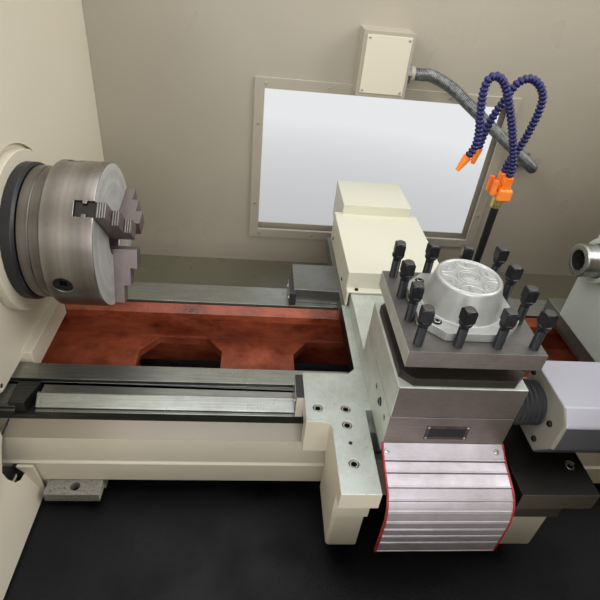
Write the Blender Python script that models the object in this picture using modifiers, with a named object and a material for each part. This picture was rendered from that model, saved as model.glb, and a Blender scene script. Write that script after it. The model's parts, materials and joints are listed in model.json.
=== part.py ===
"""CNC turning lathe with a flat bed, a three-jaw chuck, a four-way turret and a half-open guard.

All sizes are in metres. The machine stands on z = 0 with the middle of its floor area at the origin.
Pieces are placed from the datum, which is the point where the spindle axis meets the chuck's front
face: x runs from the chuck towards the tailstock, y away from the operator, z up.
"""

import math

import bmesh
import bpy
from mathutils import Matrix, Vector

for old in list(bpy.data.objects):
    bpy.data.objects.remove(old, do_unlink=True)

# Driving sizes of the machine
CENTRE_HEIGHT = 1.10        # floor to the spindle axis
WAY_DEPTH = 0.205           # spindle axis down to the flat ways
SADDLE_RISE = 0.035         # flat ways up to the saddle's top
FIT = 0.0003                # gap between pieces that touch
RUN = 0.0008                # gap between pieces that slide or turn
SHEET = 0.003               # guard sheet thickness

LEFT_END = -0.85
RIGHT_END = 1.52
FRONT_PLANE = -0.56         # front face of the guard
WALL_Y = 0.50               # working face of the rear wall
REAR_Y = 0.60               # back of the head cover
GUARD_TOP = 0.60
HEAD_FACE_X = -0.150        # left wall of the working room
BOSS_FACE_X = -0.1395       # front of the boss that reaches through that wall
OPENING_LEFT = -0.10
OPENING_RIGHT = 0.70
SILL_Z = -0.17
LINTEL_Z = 0.52
WINDOW_LOW = (0.232, -0.265)    # lower left corner of the rear window's rim, in x and z
WINDOW_HIGH = (0.905, 0.171)

# Floor, base and tray
FOOT_HEIGHT = 0.05
FOOT_RADIUS = 0.045
TRAY_TOP = -0.410
TRAY_SHEET = 0.003
BASE_LEFT = -0.80
BASE_RIGHT = 1.47
BASE_FRONT = -0.46
BASE_REAR = 0.46
BASE_WALL = 0.012

# Bed
BED_LEFT = -0.62
BED_RIGHT = 1.36
REAR_WAY = (0.087, 0.152)
FRONT_WAY = (-0.153, -0.115)
VEE_PEAK_Y = -0.1875
VEE_FRONT_Y = -0.207
BED_FRONT_Y = -0.235
BED_FOOT_Z = -0.374
WEB_TOP = -0.300
WEB_THICK = 0.020
RIB_FIRST = 0.010
RIB_PITCH = 0.335
RIB_OPENING = 0.176
VEE_START = -0.107

# Headstock and spindle
HEAD_LEFT = -0.60
HEAD_HALF = 0.20
HEAD_TOP = 0.17
BORE_RADIUS = 0.026
JOURNAL_RADIUS = 0.055
BEARING_RADIUS = 0.085
BEARING_LENGTH = 0.045
NOSE_CAP_RADIUS = 0.118
PULLEY_RADIUS = 0.090
PULLEY_X = -0.70
PULLEY_WIDTH = 0.050
MOTOR_PULLEY_RADIUS = 0.060
MOTOR_Y = 0.36
MOTOR_Z = -0.05
MOTOR_RADIUS = 0.105
BELT_THICK = 0.006

# Chuck
CHUCK_RADIUS = 0.125
CHUCK_LENGTH = 0.082
BACKPLATE_RADIUS = 0.113
BACKPLATE_LENGTH = 0.035
CHUCK_BORE = 0.035
JAW_WIDTH = 0.026
JAW_ANGLES = (132.0, 12.0, 252.0)
PINION_ANGLES = (72.0, 312.0, 192.0)
JAW_INNER = 0.022
JAW_STEP = (CHUCK_RADIUS - 0.004 - JAW_INNER) / 3
JAW_HEIGHTS = (0.041, 0.029, 0.017)
JAW_ROOT = 0.0297
SCROLL_RADIUS = CHUCK_RADIUS - 0.029
PINION_RADIUS = 0.0150
PINION_X = -0.0545
PINION_INNER = SCROLL_RADIUS + 0.0025
PINION_OUTER = CHUCK_RADIUS - 0.004
PINION_REACH = CHUCK_RADIUS - 0.015
JAW_REACH = 0.07

# Carriage
SADDLE_LEFT = 0.342
SADDLE_RIGHT = 0.775
ARM_LEFT = 0.383
SADDLE_FRONT = -0.397
WING_FRONT = -0.267
WING_REAR = -0.155
SADDLE_REAR = 0.340
CHANNEL_BACK = -0.240
SLIDE_LEFT = 0.453
SLIDE_RIGHT = 0.643
SLIDE_FRONT = -0.322
SLIDE_REAR = 0.160
COVER_FRONT = 0.064
SLIDE_TOP = -0.140
RAISER_BASE = -0.092
RAISER_TOP = -0.030
RAISER_REAR = -0.125
DOVETAIL_WIDTH = 0.110
DOVETAIL_RISE = 0.016
SCREW_RADIUS = 0.0125
CROSS_SCREW_RADIUS = 0.010

# Turret
TURRET_X = 0.548
TURRET_Y = -0.227
TURRET_HALF = 0.096
SLAB_BOTTOM = 0.010
SLAB_TOP = 0.038
TURRET_FLANGE = 0.014
TURRET_CORE = 0.056
TOOL_SCREW_INSET = 0.015
TOOL_SCREW_PITCH = 0.055
TOOL_SCREW_TOP = 0.100
TOOL_SCREW_RADIUS = 0.0065
TOOL_HEAD_HALF = 0.0083
TOOL_HEAD_HEIGHT = 0.024
CAP_TOP = 0.098
CAP_TOP_RADIUS = 0.046
CAP_BASE_RADIUS = 0.057
CAP_FLANGE_HALF = 0.073
CAP_FLANGE_THICK = 0.014

# Tailstock
TAIL_FACE_X = 0.930
TAIL_LENGTH = 0.280
TAIL_REAR = 0.055
TAIL_BASE_TOP = -0.174
QUILL_RADIUS = 0.0325
QUILL_FRONT = 0.871
QUILL_MOUTH = 0.0205
QUILL_TRAVEL = (-0.080, 0.032)
HANDWHEEL_RADIUS = 0.095

# The box that the machine fills decides where the datum stands
FRONT_MOST = -0.700         # front of the control panel's emergency knob
DATUM = Vector((-(LEFT_END + RIGHT_END) / 2, -(FRONT_MOST + REAR_Y) / 2, CENTRE_HEIGHT))

WAY_Z = -WAY_DEPTH
SADDLE_TOP = WAY_Z + SADDLE_RISE
FLOOR_Z = -CENTRE_HEIGHT
TRAY_UNDER = TRAY_TOP - TRAY_SHEET
CHUCK_REAR = -CHUCK_LENGTH
PLATE_REAR = CHUCK_REAR - FIT - BACKPLATE_LENGTH

# Screws, riser, tailstock levers and panel
SCREW_Z_Y = 0.225
SCREW_Z_Z = -0.300
SLIDE_MIDDLE = (SLIDE_LEFT + SLIDE_RIGHT) / 2
X_SCREW_Z = SADDLE_TOP - 0.016
RISER_AT = (0.660, -0.020)
VALVE_Z = 0.139
TAP_OFFSET = 0.010
WHEEL_X = TAIL_FACE_X + TAIL_LENGTH + 0.055
LOCK_AT = (TAIL_FACE_X + 0.060, 0.0, 0.0)
CLAMP_AT = (TAIL_FACE_X + 0.140, TAIL_REAR + 0.02, -0.060)
PANEL_HINGE = (-0.70, FRONT_PLANE - 0.025, 0.25)
PANEL_BARREL = 0.200
PANEL_LOW = (-0.67, -0.670, 0.02)
PANEL_HIGH = (-0.23, -0.590, 0.48)

# Coolant hoses
HOSE_RADIUS = 0.0065
HOSE_POINTS = 36
HOSE_START_Z = VALVE_Z + 0.029
HOSE_1_Y = RISER_AT[1] - TAP_OFFSET
HOSE_2_Y = RISER_AT[1] + TAP_OFFSET
HOSE_ROUTE_1 = [
    (RISER_AT[0], HOSE_1_Y, HOSE_START_Z + RUN), (RISER_AT[0], HOSE_1_Y, HOSE_START_Z + 0.020),
    (0.6510, -0.031, 0.212), (0.6400, -0.031, 0.240), (0.6270, -0.031, 0.268), (0.6130, -0.030, 0.295),
    (0.6010, -0.030, 0.312), (0.5880, -0.030, 0.319), (0.5775, -0.030, 0.313), (0.5755, -0.030, 0.294),
    (0.5810, -0.030, 0.262), (0.5870, -0.030, 0.235), (0.5870, -0.031, 0.214), (0.5800, -0.032, 0.198)]
HOSE_ROUTE_2 = [
    (RISER_AT[0], HOSE_2_Y, HOSE_START_Z + RUN), (RISER_AT[0] + 0.001, HOSE_2_Y, HOSE_START_Z + 0.018),
    (0.6676, -0.011, 0.204), (0.6741, -0.011, 0.224), (0.6786, -0.011, 0.248), (0.6811, -0.011, 0.272),
    (0.6785, -0.011, 0.293), (0.6660, -0.011, 0.309), (0.6490, -0.011, 0.316), (0.6342, -0.011, 0.310),
    (0.6250, -0.011, 0.296), (0.6190, -0.011, 0.279), (0.6120, -0.011, 0.262), (0.6055, -0.011, 0.236),
    (0.6025, -0.011, 0.206)]

# Conduit
CONDUIT_RADIUS = 0.014
CONDUIT_START_X = 0.6065
CONDUIT_START_Z = 0.213
CONDUIT_END = (0.965, WALL_Y - 0.0205, 0.016)
CONDUIT_ROUTE = [
    (CONDUIT_START_X, WALL_Y - 0.036, CONDUIT_START_Z), (0.630, WALL_Y - 0.036, CONDUIT_START_Z),
    (0.652, WALL_Y - 0.037, 0.212),
    (0.700, WALL_Y - 0.046, 0.193), (0.750, WALL_Y - 0.060, 0.160), (0.800, WALL_Y - 0.072, 0.126),
    (0.850, WALL_Y - 0.082, 0.093), (0.900, WALL_Y - 0.089, 0.060), (0.938, WALL_Y - 0.087, 0.034),
    (0.960, WALL_Y - 0.070, 0.019), (0.965, WALL_Y - 0.045, 0.016), CONDUIT_END]

model = bpy.data.collections.new("cnc_turning_lathe")
cutters = bpy.data.collections.new("cutters")
for group in (model, cutters):
    bpy.context.scene.collection.children.link(group)

datum = bpy.data.objects.new("datum", None)
datum.location = DATUM
model.objects.link(datum)
carriers = {"frame": (datum, Vector((0, 0, 0)))}


def carrier(name, parent, at):
    """Adds the empty that stands on a moving body's axis, at a point measured from the datum."""
    empty = bpy.data.objects.new("axis_" + name, None)
    model.objects.link(empty)
    holder, origin = carriers[parent]
    empty.parent = holder
    empty.location = Vector(at) - origin
    carriers[name] = (empty, Vector(at))


def material(name, colour, roughness, metallic=0.0):
    """Makes a piece's own plain material."""
    finish = bpy.data.materials.new(name)
    finish.use_nodes = True
    shader = finish.node_tree.nodes["Principled BSDF"]
    shader.inputs["Base Color"].default_value = (*colour, 1.0)
    shader.inputs["Roughness"].default_value = roughness
    shader.inputs["Metallic"].default_value = metallic
    return finish


# Finishes: colour, roughness and metallic value
CREAM = ((0.73, 0.68, 0.55), 0.5)
STEEL = ((0.55, 0.56, 0.54), 0.35, 1.0)
DARK_STEEL = ((0.03, 0.03, 0.03), 0.45, 0.6)
CAST = ((0.60, 0.56, 0.46), 0.55)
BLACK = ((0.02, 0.02, 0.022), 0.6)
ALUMINIUM = ((0.66, 0.67, 0.66), 0.4, 0.9)
PALE_ALUMINIUM = ((0.75, 0.74, 0.78), 0.35, 0.9)
GREY_GREEN = ((0.42, 0.46, 0.42), 0.5)
BLUE = ((0.01, 0.01, 0.20), 0.4)
ORANGE = ((0.90, 0.22, 0.02), 0.4)
RUBBER = ((0.02, 0.02, 0.02), 0.8)
RED = ((0.60, 0.02, 0.01), 0.35)
GREEN = ((0.02, 0.35, 0.06), 0.35)
GLASS = ((0.6, 0.7, 0.7), 0.1)
CONDUIT = ((0.35, 0.36, 0.36), 0.45, 0.8)

# Controls: name, place on the panel, radius, how far each stands out, finish and sides
CONTROL_TRAVEL = 0.004
CONTROLS = (
    ("stop_knob", PANEL_LOW[0] + 0.36, PANEL_LOW[2] + 0.10, 0.020, PANEL_LOW[1] - FRONT_MOST, RED, 20),
    ("feed_knob", PANEL_LOW[0] + 0.25, PANEL_LOW[2] + 0.10, 0.018, 0.022, BLACK, 20),
    ("start_button", PANEL_LOW[0] + 0.07, PANEL_LOW[2] + 0.10, 0.012, 0.012, GREEN, 16),
    ("hold_button", PANEL_LOW[0] + 0.14, PANEL_LOW[2] + 0.10, 0.012, 0.012, RED, 16),
)


def add(name, mesh, at, body, finish, cutter=False):
    """Makes an object of a mesh whose origin is at a point measured from the datum."""
    thing = bpy.data.objects.new(name, mesh)
    (cutters if cutter else model).objects.link(thing)
    holder, origin = carriers[body]
    thing.parent = holder
    thing.location = Vector(at) - origin
    if cutter:
        thing.hide_render = True
        thing.display_type = "WIRE"
    else:
        mesh.materials.append(material(name, *finish))
    return thing


def box(name, low, high, body="frame", finish=CREAM, bevel=0.0, cutter=False):
    """Makes a box between two corners, with its edges bevelled if asked."""
    low, high = Vector(low), Vector(high)
    shape = bmesh.new()
    bmesh.ops.create_cube(shape, size=1.0)
    bmesh.ops.scale(shape, vec=high - low, verts=shape.verts)
    mesh = bpy.data.meshes.new(name)
    shape.to_mesh(mesh)
    shape.free()
    thing = add(name, mesh, (low + high) / 2, body, finish, cutter)
    if bevel:
        soften(thing, bevel)
    return thing


def soften(thing, width, segments=1, angle=math.radians(40)):
    """Bevels the sharp edges of a piece."""
    edge = thing.modifiers.new("bevel", "BEVEL")
    edge.width = width
    edge.segments = segments
    edge.limit_method = "ANGLE"
    edge.angle_limit = angle


TURN = {
    "x": Matrix.Rotation(math.radians(90), 4, "Y"),
    "y": Matrix.Rotation(math.radians(-90), 4, "X"),
    "z": Matrix.Identity(4),
}


def rod(name, at, axis, low, high, radius, body="frame", finish=STEEL, sides=24, top=None,
        cutter=False):
    """Makes a cylinder or cone along x, y or z, from low to high along that axis past the point at."""
    shape = bmesh.new()
    bmesh.ops.create_cone(shape, cap_ends=True, segments=sides, radius1=radius,
                          radius2=radius if top is None else top, depth=high - low)
    middle = Vector(at) + TURN[axis].to_3x3() @ Vector((0, 0, (low + high) / 2))
    bmesh.ops.transform(shape, matrix=TURN[axis], verts=shape.verts)
    mesh = bpy.data.meshes.new(name)
    shape.to_mesh(mesh)
    shape.free()
    mesh.shade_smooth()
    mesh.set_sharp_from_angle(angle=math.radians(35))
    return add(name, mesh, middle, body, finish, cutter)


PLANE = {
    "x": Matrix(((0, 0, 1), (1, 0, 0), (0, 1, 0))).to_4x4(),
    "y": Matrix(((1, 0, 0), (0, 0, -1), (0, 1, 0))).to_4x4(),
    "z": Matrix.Identity(4),
}


def plate(name, outline, axis, low, high, body="frame", finish=CREAM, at=(0, 0, 0), turn=None,
          cutter=False):
    """Extrudes a flat outline along x (outline in y, z), y (outline in x, z) or z (outline in x, y)."""
    flat = bpy.data.curves.new(name, "CURVE")
    flat.dimensions = "2D"
    flat.fill_mode = "BOTH"
    flat.extrude = (high - low) / 2
    line = flat.splines.new("POLY")
    line.points.add(len(outline) - 1)
    for point, (u, v) in zip(line.points, outline):
        point.co = (u, v, 0, 1)
    line.use_cyclic_u = True
    guide = bpy.data.objects.new(name + "_outline", flat)
    bpy.context.scene.collection.objects.link(guide)
    mesh = bpy.data.meshes.new_from_object(guide.evaluated_get(bpy.context.evaluated_depsgraph_get()))
    bpy.data.objects.remove(guide, do_unlink=True)
    shape = bmesh.new()
    shape.from_mesh(mesh)
    bmesh.ops.remove_doubles(shape, verts=shape.verts, dist=0.00001)
    side = -1 if axis == "y" else 1
    bmesh.ops.translate(shape, vec=(0, 0, side * (low + high) / 2), verts=shape.verts)
    bmesh.ops.transform(shape, matrix=PLANE[axis], verts=shape.verts)
    if turn is not None:
        bmesh.ops.transform(shape, matrix=turn, verts=shape.verts)
    bmesh.ops.recalc_face_normals(shape, faces=shape.faces)
    shape.to_mesh(mesh)
    shape.free()
    mesh.materials.clear()
    mesh.shade_flat()
    return add(name, mesh, at, body, finish, cutter)


def turned(name, profile, axis, at, body="frame", finish=STEEL, steps=32, ring=False, cutter=False):
    """Turns a profile of (radius, distance along the axis), listed top to bottom down its outer side."""
    mesh = bpy.data.meshes.new(name)
    points = [(radius, 0, along) for radius, along in profile]
    edges = [(i, i + 1) for i in range(len(points) - 1)]
    if ring:
        edges.append((len(points) - 1, 0))
    mesh.from_pydata(points, edges, [])
    thing = add(name, mesh, at, body, finish, cutter)
    screw = thing.modifiers.new("turn", "SCREW")
    screw.axis = "Z"
    screw.steps = steps
    screw.render_steps = steps
    screw.use_merge_vertices = True
    screw.merge_threshold = 0.00001
    screw.use_smooth_shade = True
    thing.matrix_basis = Matrix.Translation(thing.location) @ TURN[axis]
    return thing


def cut(thing, *tools):
    """Takes each tool away from a piece."""
    for tool in tools:
        step = thing.modifiers.new("cut_" + tool.name, "BOOLEAN")
        step.operation = "DIFFERENCE"
        step.object = tool


def join(thing, *others):
    """Joins other shapes to a piece, so that they are one body."""
    for other in others:
        step = thing.modifiers.new("join_" + other.name, "BOOLEAN")
        step.operation = "UNION"
        step.object = other


def smooth_route(points, count):
    """Gives evenly spread points on a smooth curve through a route's own points."""
    points = [Vector(p) for p in points]
    padded = [2 * points[0] - points[1], *points, 2 * points[-1] - points[-2]]
    fine = []
    for i in range(1, len(padded) - 2):
        a, b, c, d = padded[i - 1:i + 3]
        for k in range(24):
            t = k / 24
            fine.append(0.5 * (2 * b + (c - a) * t + (2 * a - 5 * b + 4 * c - d) * t * t
                               + (3 * b - a - 3 * c + d) * t ** 3))
    fine.append(points[-1])
    lengths = [0.0]
    for one, two in zip(fine, fine[1:]):
        lengths.append(lengths[-1] + (two - one).length)
    even = []
    place = 0
    for k in range(count):
        target = lengths[-1] * k / (count - 1)
        while place < len(lengths) - 2 and lengths[place + 1] < target:
            place += 1
        share = (target - lengths[place]) / max(lengths[place + 1] - lengths[place], 1e-9)
        even.append(fine[place].lerp(fine[place + 1], min(max(share, 0.0), 1.0)))
    return even


def tube(name, points, radius, body, finish, count):
    """Makes a cord's tube along a smooth route measured from the datum."""
    line = bpy.data.curves.new(name, "CURVE")
    line.dimensions = "3D"
    line.bevel_depth = radius
    line.bevel_resolution = 2
    line.use_fill_caps = True
    route = line.splines.new("POLY")
    even = smooth_route(points, count)
    route.points.add(len(even) - 1)
    for point, place in zip(route.points, even):
        point.co = (*place, 1)
    line.materials.append(material(name, *finish))
    thing = bpy.data.objects.new(name, line)
    model.objects.link(thing)
    holder, origin = carriers[body]
    thing.parent = holder
    thing.location = -origin
    return thing


def radial(angle, reach, x=0.0):
    """Gives the point at a radius from the spindle axis, at an angle from +y towards +z."""
    turn = math.radians(angle)
    return Vector((x, reach * math.cos(turn), reach * math.sin(turn)))


# Moving bodies
carrier("spindle", "frame", (0, 0, 0))
carrier("scroll", "spindle", (-0.045, 0, 0))
for index, angle in enumerate(JAW_ANGLES, 1):
    carrier(f"jaw_{index}", "spindle", radial(angle, JAW_REACH))
for index, angle in enumerate(PINION_ANGLES, 1):
    carrier(f"pinion_{index}", "spindle", radial(angle, PINION_REACH, PINION_X))
carrier("motor", "frame", (PULLEY_X, MOTOR_Y, MOTOR_Z))
carrier("carriage", "frame", ((SADDLE_LEFT + SADDLE_RIGHT) / 2, 0, SADDLE_TOP))
carrier("feed_screw", "frame", (0, SCREW_Z_Y, SCREW_Z_Z))
carrier("slide", "carriage", (SLIDE_MIDDLE, TURRET_Y, SADDLE_TOP))
carrier("cross_screw", "carriage", (SLIDE_MIDDLE, 0, X_SCREW_Z))
carrier("turret", "slide", (TURRET_X, TURRET_Y, RAISER_TOP))
carrier("tap_1", "carriage", (RISER_AT[0], RISER_AT[1] - TAP_OFFSET, VALVE_Z))
carrier("tap_2", "carriage", (RISER_AT[0], RISER_AT[1] + TAP_OFFSET, VALVE_Z))
carrier("tailstock", "frame", (TAIL_FACE_X, 0, WAY_Z))
carrier("quill", "tailstock", (QUILL_FRONT, 0, 0))
carrier("handwheel", "tailstock", (WHEEL_X, 0, 0))
carrier("quill_lock", "tailstock", LOCK_AT)
carrier("tail_clamp", "tailstock", CLAMP_AT)
carrier("door", "frame", (OPENING_RIGHT, FRONT_PLANE, 0))
carrier("panel", "frame", PANEL_HINGE)


def build_base():
    """The cast base is a hollow box on six levelling feet."""
    bottom = FLOOR_Z + FOOT_HEIGHT
    top = TRAY_UNDER - FIT
    base = box("base", (BASE_LEFT, BASE_FRONT, bottom), (BASE_RIGHT, BASE_REAR, top), bevel=0.006)
    hollow = box("base_hollow", (BASE_LEFT + BASE_WALL, BASE_FRONT + BASE_WALL, bottom - 0.02),
                 (BASE_RIGHT - BASE_WALL, BASE_REAR - BASE_WALL, top - BASE_WALL), cutter=True)
    cut(base, hollow)
    for k, x in enumerate((BASE_LEFT + 0.10, (BASE_LEFT + BASE_RIGHT) / 2, BASE_RIGHT - 0.10)):
        for m, y in enumerate((BASE_FRONT + 0.06, BASE_REAR - 0.06)):
            block = box(f"foot_block_{k}{m}", (x - 0.05, y - 0.05, bottom),
                        (x + 0.05, y + 0.05, bottom + 0.03),
                        cutter=True)
            stud = rod(f"foot_stud_{k}{m}", (x, y, 0), "z", FLOOR_Z + 0.010, bottom + 0.015, 0.010,
                       sides=12, cutter=True)
            pad = rod(f"foot_pad_{k}{m}", (x, y, 0), "z", FLOOR_Z, FLOOR_Z + 0.015, FOOT_RADIUS,
                      sides=16, top=FOOT_RADIUS * 0.8, cutter=True)
            join(base, block, stud, pad)


def build_tray():
    """The chip tray is a sheet pan that lies on the base and catches chips under the bed."""
    left, right = HEAD_FACE_X + 0.002, RIGHT_END - 0.012
    front, rear = FRONT_PLANE + 0.012, WALL_Y - 0.012
    tray = box("chip_tray", (left, front, TRAY_UNDER), (right, rear, TRAY_TOP + 0.05), finish=BLACK)
    inside = box("tray_inside", (left + TRAY_SHEET, front + TRAY_SHEET, TRAY_TOP),
                 (right - TRAY_SHEET, rear - TRAY_SHEET, TRAY_TOP + 0.10), cutter=True)
    bed_gap = box("tray_bed_gap", (left - 0.01, BED_FRONT_Y - 0.010, TRAY_TOP),
                  (left + 0.01, REAR_WAY[1] + 0.006, TRAY_TOP + 0.10),
                  cutter=True)
    cut(tray, inside, bed_gap)


def build_bed():
    """The bed is one casting: two ground flat ways, an outer vee way and a ribbed web between them."""
    rear_in, rear_out = REAR_WAY
    front_in, front_out = FRONT_WAY[1], FRONT_WAY[0]
    groove = 0.008
    outline = [
        (rear_out, WAY_Z), (rear_in, WAY_Z), (rear_in - 0.002, WAY_Z - groove),
        (rear_in - 0.006, WAY_Z - 0.002),
        (rear_in - 0.020, WAY_Z - 0.018), (rear_in - 0.020, WAY_Z - 0.036),
        (rear_in - 0.005, WAY_Z - 0.044),
        (rear_in - 0.005, WEB_TOP), (front_in - 0.060, WEB_TOP), (front_in - 0.060, WAY_Z - 0.080),
        (front_in - 0.020, WAY_Z - 0.045), (front_in, WAY_Z - 0.030), (front_in, WAY_Z),
        (front_out, WAY_Z), (front_out, WAY_Z - groove), (front_out - 0.024, WAY_Z - groove),
        (VEE_PEAK_Y + 0.002, WAY_Z + 0.002), (VEE_PEAK_Y - 0.002, WAY_Z + 0.002),
        (VEE_FRONT_Y, WAY_Z - 0.013), (VEE_FRONT_Y, WAY_Z - 0.018),
        (VEE_FRONT_Y - 0.005, WAY_Z - 0.018),
        (VEE_FRONT_Y - 0.005, WAY_Z - 0.036), (BED_FRONT_Y, WAY_Z - 0.058),
        (BED_FRONT_Y, WAY_Z - 0.118),
        (BED_FRONT_Y - 0.004, WAY_Z - 0.122), (BED_FRONT_Y - 0.004, BED_FOOT_Z),
        (BED_FRONT_Y + 0.055, BED_FOOT_Z),
        (front_in - 0.065, WEB_TOP - WEB_THICK), (rear_in - 0.005, WEB_TOP - WEB_THICK),
        (rear_in - 0.005, BED_FOOT_Z), (rear_out - 0.012, BED_FOOT_Z),
        (rear_out - 0.012, WAY_Z - 0.040),
        (rear_out, WAY_Z - 0.034),
    ]
    bed = plate("bed", outline, "x", BED_LEFT, BED_RIGHT, finish=CAST)
    foot_ends = ((BED_LEFT + 0.02, BED_LEFT + 0.20), (-0.140, -0.010), (0.56, 0.74),
                 (BED_RIGHT - 0.20, BED_RIGHT - 0.02))
    for k, (a, b) in enumerate(foot_ends):
        low = TRAY_TOP + FIT if k else TRAY_UNDER
        front_pad = box(f"bed_pad_front_{k}", (a, BED_FRONT_Y + 0.002, low),
                        (b, BED_FRONT_Y + 0.06, BED_FOOT_Z + 0.004),
                        cutter=True)
        rear_pad = box(f"bed_pad_rear_{k}", (a, rear_in, low),
                       (b, rear_out - 0.020, BED_FOOT_Z + 0.004), cutter=True)
        join(bed, front_pad, rear_pad)
        for side, near, far, bolt in (
                ("front", BED_FRONT_Y - 0.034, BED_FRONT_Y + 0.009, BED_FRONT_Y - 0.017),
                ("rear", rear_out - 0.020, rear_out + 0.018, rear_out + 0.004)):
            lug = box(f"bed_lug_{side}_{k}", (b - 0.095, near, BED_FOOT_Z - 0.021),
                      (b, far, BED_FOOT_Z - 0.001), cutter=True)
            hole = rod(f"bed_lug_hole_{side}_{k}", (b - 0.045, bolt, 0), "z", BED_FOOT_Z - 0.05,
                       BED_FOOT_Z + 0.005, 0.0085, sides=16, cutter=True)
            join(bed, lug)
            cut(bed, hole)
    rear_edge = rear_in - 0.010
    front_edge = front_in - 0.020
    for k in range(4):
        a = RIB_FIRST + RIB_PITCH * k
        b = a + RIB_OPENING
        corner = 0.034
        hole = plate(f"web_opening_{k}", [
            (a, front_edge + corner), (a + corner, front_edge), (b - corner, front_edge),
            (b, front_edge + corner),
            (b, rear_edge - corner * 1.3), (b - corner, rear_edge), (a + corner, rear_edge),
            (a, rear_edge - corner * 1.3)], "z", WEB_TOP - 0.06, WEB_TOP + 0.02, cutter=True)
        cut(bed, hole)
    gap = box("vee_gap", (BED_LEFT - 0.01, VEE_FRONT_Y - 0.01, WAY_Z - groove - 0.001),
              (VEE_START, FRONT_WAY[0] - 0.0005, WAY_Z + 0.02), cutter=True)
    pocket = box("vee_pocket", (HEAD_FACE_X + 0.010, VEE_FRONT_Y - 0.008, WAY_Z - 0.028),
                 (VEE_START, FRONT_WAY[0] - 0.0005, WAY_Z), cutter=True)
    cut(bed, gap, pocket)
    for k, x in enumerate((-0.12, BED_RIGHT - 0.055)):
        bracket = box(f"screw_bracket_{k}", (x, rear_out - 0.02, SCREW_Z_Z - 0.030),
                      (x + 0.040, SCREW_Z_Y + 0.030, SCREW_Z_Z + 0.030), cutter=True)
        join(bed, bracket)
    bore = rod("screw_bore", (0, SCREW_Z_Y, SCREW_Z_Z), "x", -0.2, BED_RIGHT + 0.1, SCREW_RADIUS + RUN,
               sides=20, cutter=True)
    cut(bed, bore)


def build_headstock():
    """The headstock is a hollow casting, open on top, with a bored boss at each end for the spindle."""
    low = WAY_Z + FIT
    right = HEAD_FACE_X - 0.008
    head = box("headstock", (HEAD_LEFT, -HEAD_HALF, low), (right, HEAD_HALF, HEAD_TOP), bevel=0.008)
    boss = rod("head_boss", (0, 0, 0), "x", right - 0.02, BOSS_FACE_X, 0.138, sides=40, cutter=True)
    hollow = box("head_hollow", (HEAD_LEFT + 0.05, -HEAD_HALF + 0.03, low + 0.035),
                 (right - 0.075, HEAD_HALF - 0.03, HEAD_TOP + 0.02), cutter=True)
    bore = rod("head_bore", (0, 0, 0), "x", HEAD_LEFT - 0.02, BOSS_FACE_X + 0.02, BEARING_RADIUS + FIT,
               sides=40, cutter=True)
    tongue = box("head_tongue", (HEAD_LEFT + 0.02, FRONT_WAY[1] + 0.004, WAY_Z - 0.025),
                 (HEAD_FACE_X + 0.010, REAR_WAY[0] - 0.024, low + 0.02), cutter=True)
    join(head, boss, tongue)
    cut(head, hollow, bore)
    for name, a in (("spindle_bearing_front", right - 0.012 - BEARING_LENGTH),
                    ("spindle_bearing_rear", HEAD_LEFT + 0.004)):
        turned(name, [(BEARING_RADIUS, BEARING_LENGTH), (BEARING_RADIUS, 0), (JOURNAL_RADIUS + RUN, 0),
                      (JOURNAL_RADIUS + RUN, BEARING_LENGTH)], "x", (a, 0, 0), finish=STEEL, ring=True,
                      steps=40)
    cap_rear = BOSS_FACE_X + FIT
    cap_front = PLATE_REAR - 0.002
    turned("nose_cap", [(NOSE_CAP_RADIUS - 0.004, cap_front), (NOSE_CAP_RADIUS, cap_front - 0.004),
                        (NOSE_CAP_RADIUS, cap_rear), (0.088, cap_rear), (0.088, cap_front)], "x",
                        (0, 0, 0),
           finish=BLACK, ring=True, steps=40)


def build_head_cover():
    """The head cover is a folded sheet case over the headstock, belt and motor; a wall closes its right side."""
    low = TRAY_TOP + 0.002
    cover = box("headstock_cover", (LEFT_END, FRONT_PLANE, low),
                (HEAD_FACE_X - 0.004, REAR_Y, GUARD_TOP), finish=CREAM)
    inside = box("cover_inside", (LEFT_END + SHEET, FRONT_PLANE + SHEET, low - 0.02),
                 (HEAD_FACE_X + 0.02, REAR_Y - SHEET, GUARD_TOP - SHEET), cutter=True)
    cut(cover, inside)
    x, y, z = PANEL_HINGE
    for k, side in enumerate((-1, 1)):
        near, far = z + side * (PANEL_BARREL / 2 + RUN), z + side * (PANEL_BARREL / 2 + 0.018)
        knuckle = box(f"panel_knuckle_{k}", (x - 0.013, y - 0.012, min(near, far)),
                      (x + 0.013, FRONT_PLANE + 0.002, max(near, far)),
                      cutter=True)
        join(cover, knuckle)
    pin = rod("panel_pin", (x, y, z), "z", -PANEL_BARREL / 2 - 0.010, PANEL_BARREL / 2 + 0.010, 0.005,
              sides=12, cutter=True)
    join(cover, pin)
    outline = [(FRONT_PLANE + SHEET + 0.006, TRAY_TOP + 0.056),
               (FRONT_PLANE + SHEET + 0.006, GUARD_TOP),
               (REAR_Y, GUARD_TOP), (REAR_Y, TRAY_TOP + 0.056)]
    wall = plate("left_guard", outline, "x", HEAD_FACE_X - 0.004 + FIT, HEAD_FACE_X - 0.001)
    hole = rod("left_guard_hole", (0, 0, 0), "x", HEAD_FACE_X - 0.03, HEAD_FACE_X + 0.03, 0.146,
               sides=48, cutter=True)
    below = box("left_guard_bed_gap", (HEAD_FACE_X - 0.03, -HEAD_HALF - 0.045, TRAY_TOP),
                (HEAD_FACE_X + 0.03, HEAD_HALF + 0.004, -0.06), cutter=True)
    flare = plate("left_guard_flare", [
        (HEAD_FACE_X - 0.003, -0.300), (HEAD_FACE_X - 0.0015, -0.2985), (-0.1145, -0.4045),
        (-0.1175, -0.4045)],
        "y", FRONT_PLANE + 0.020, BED_FRONT_Y - 0.012, cutter=True)
    cut(wall, hole, below)
    join(wall, flare)


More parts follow.
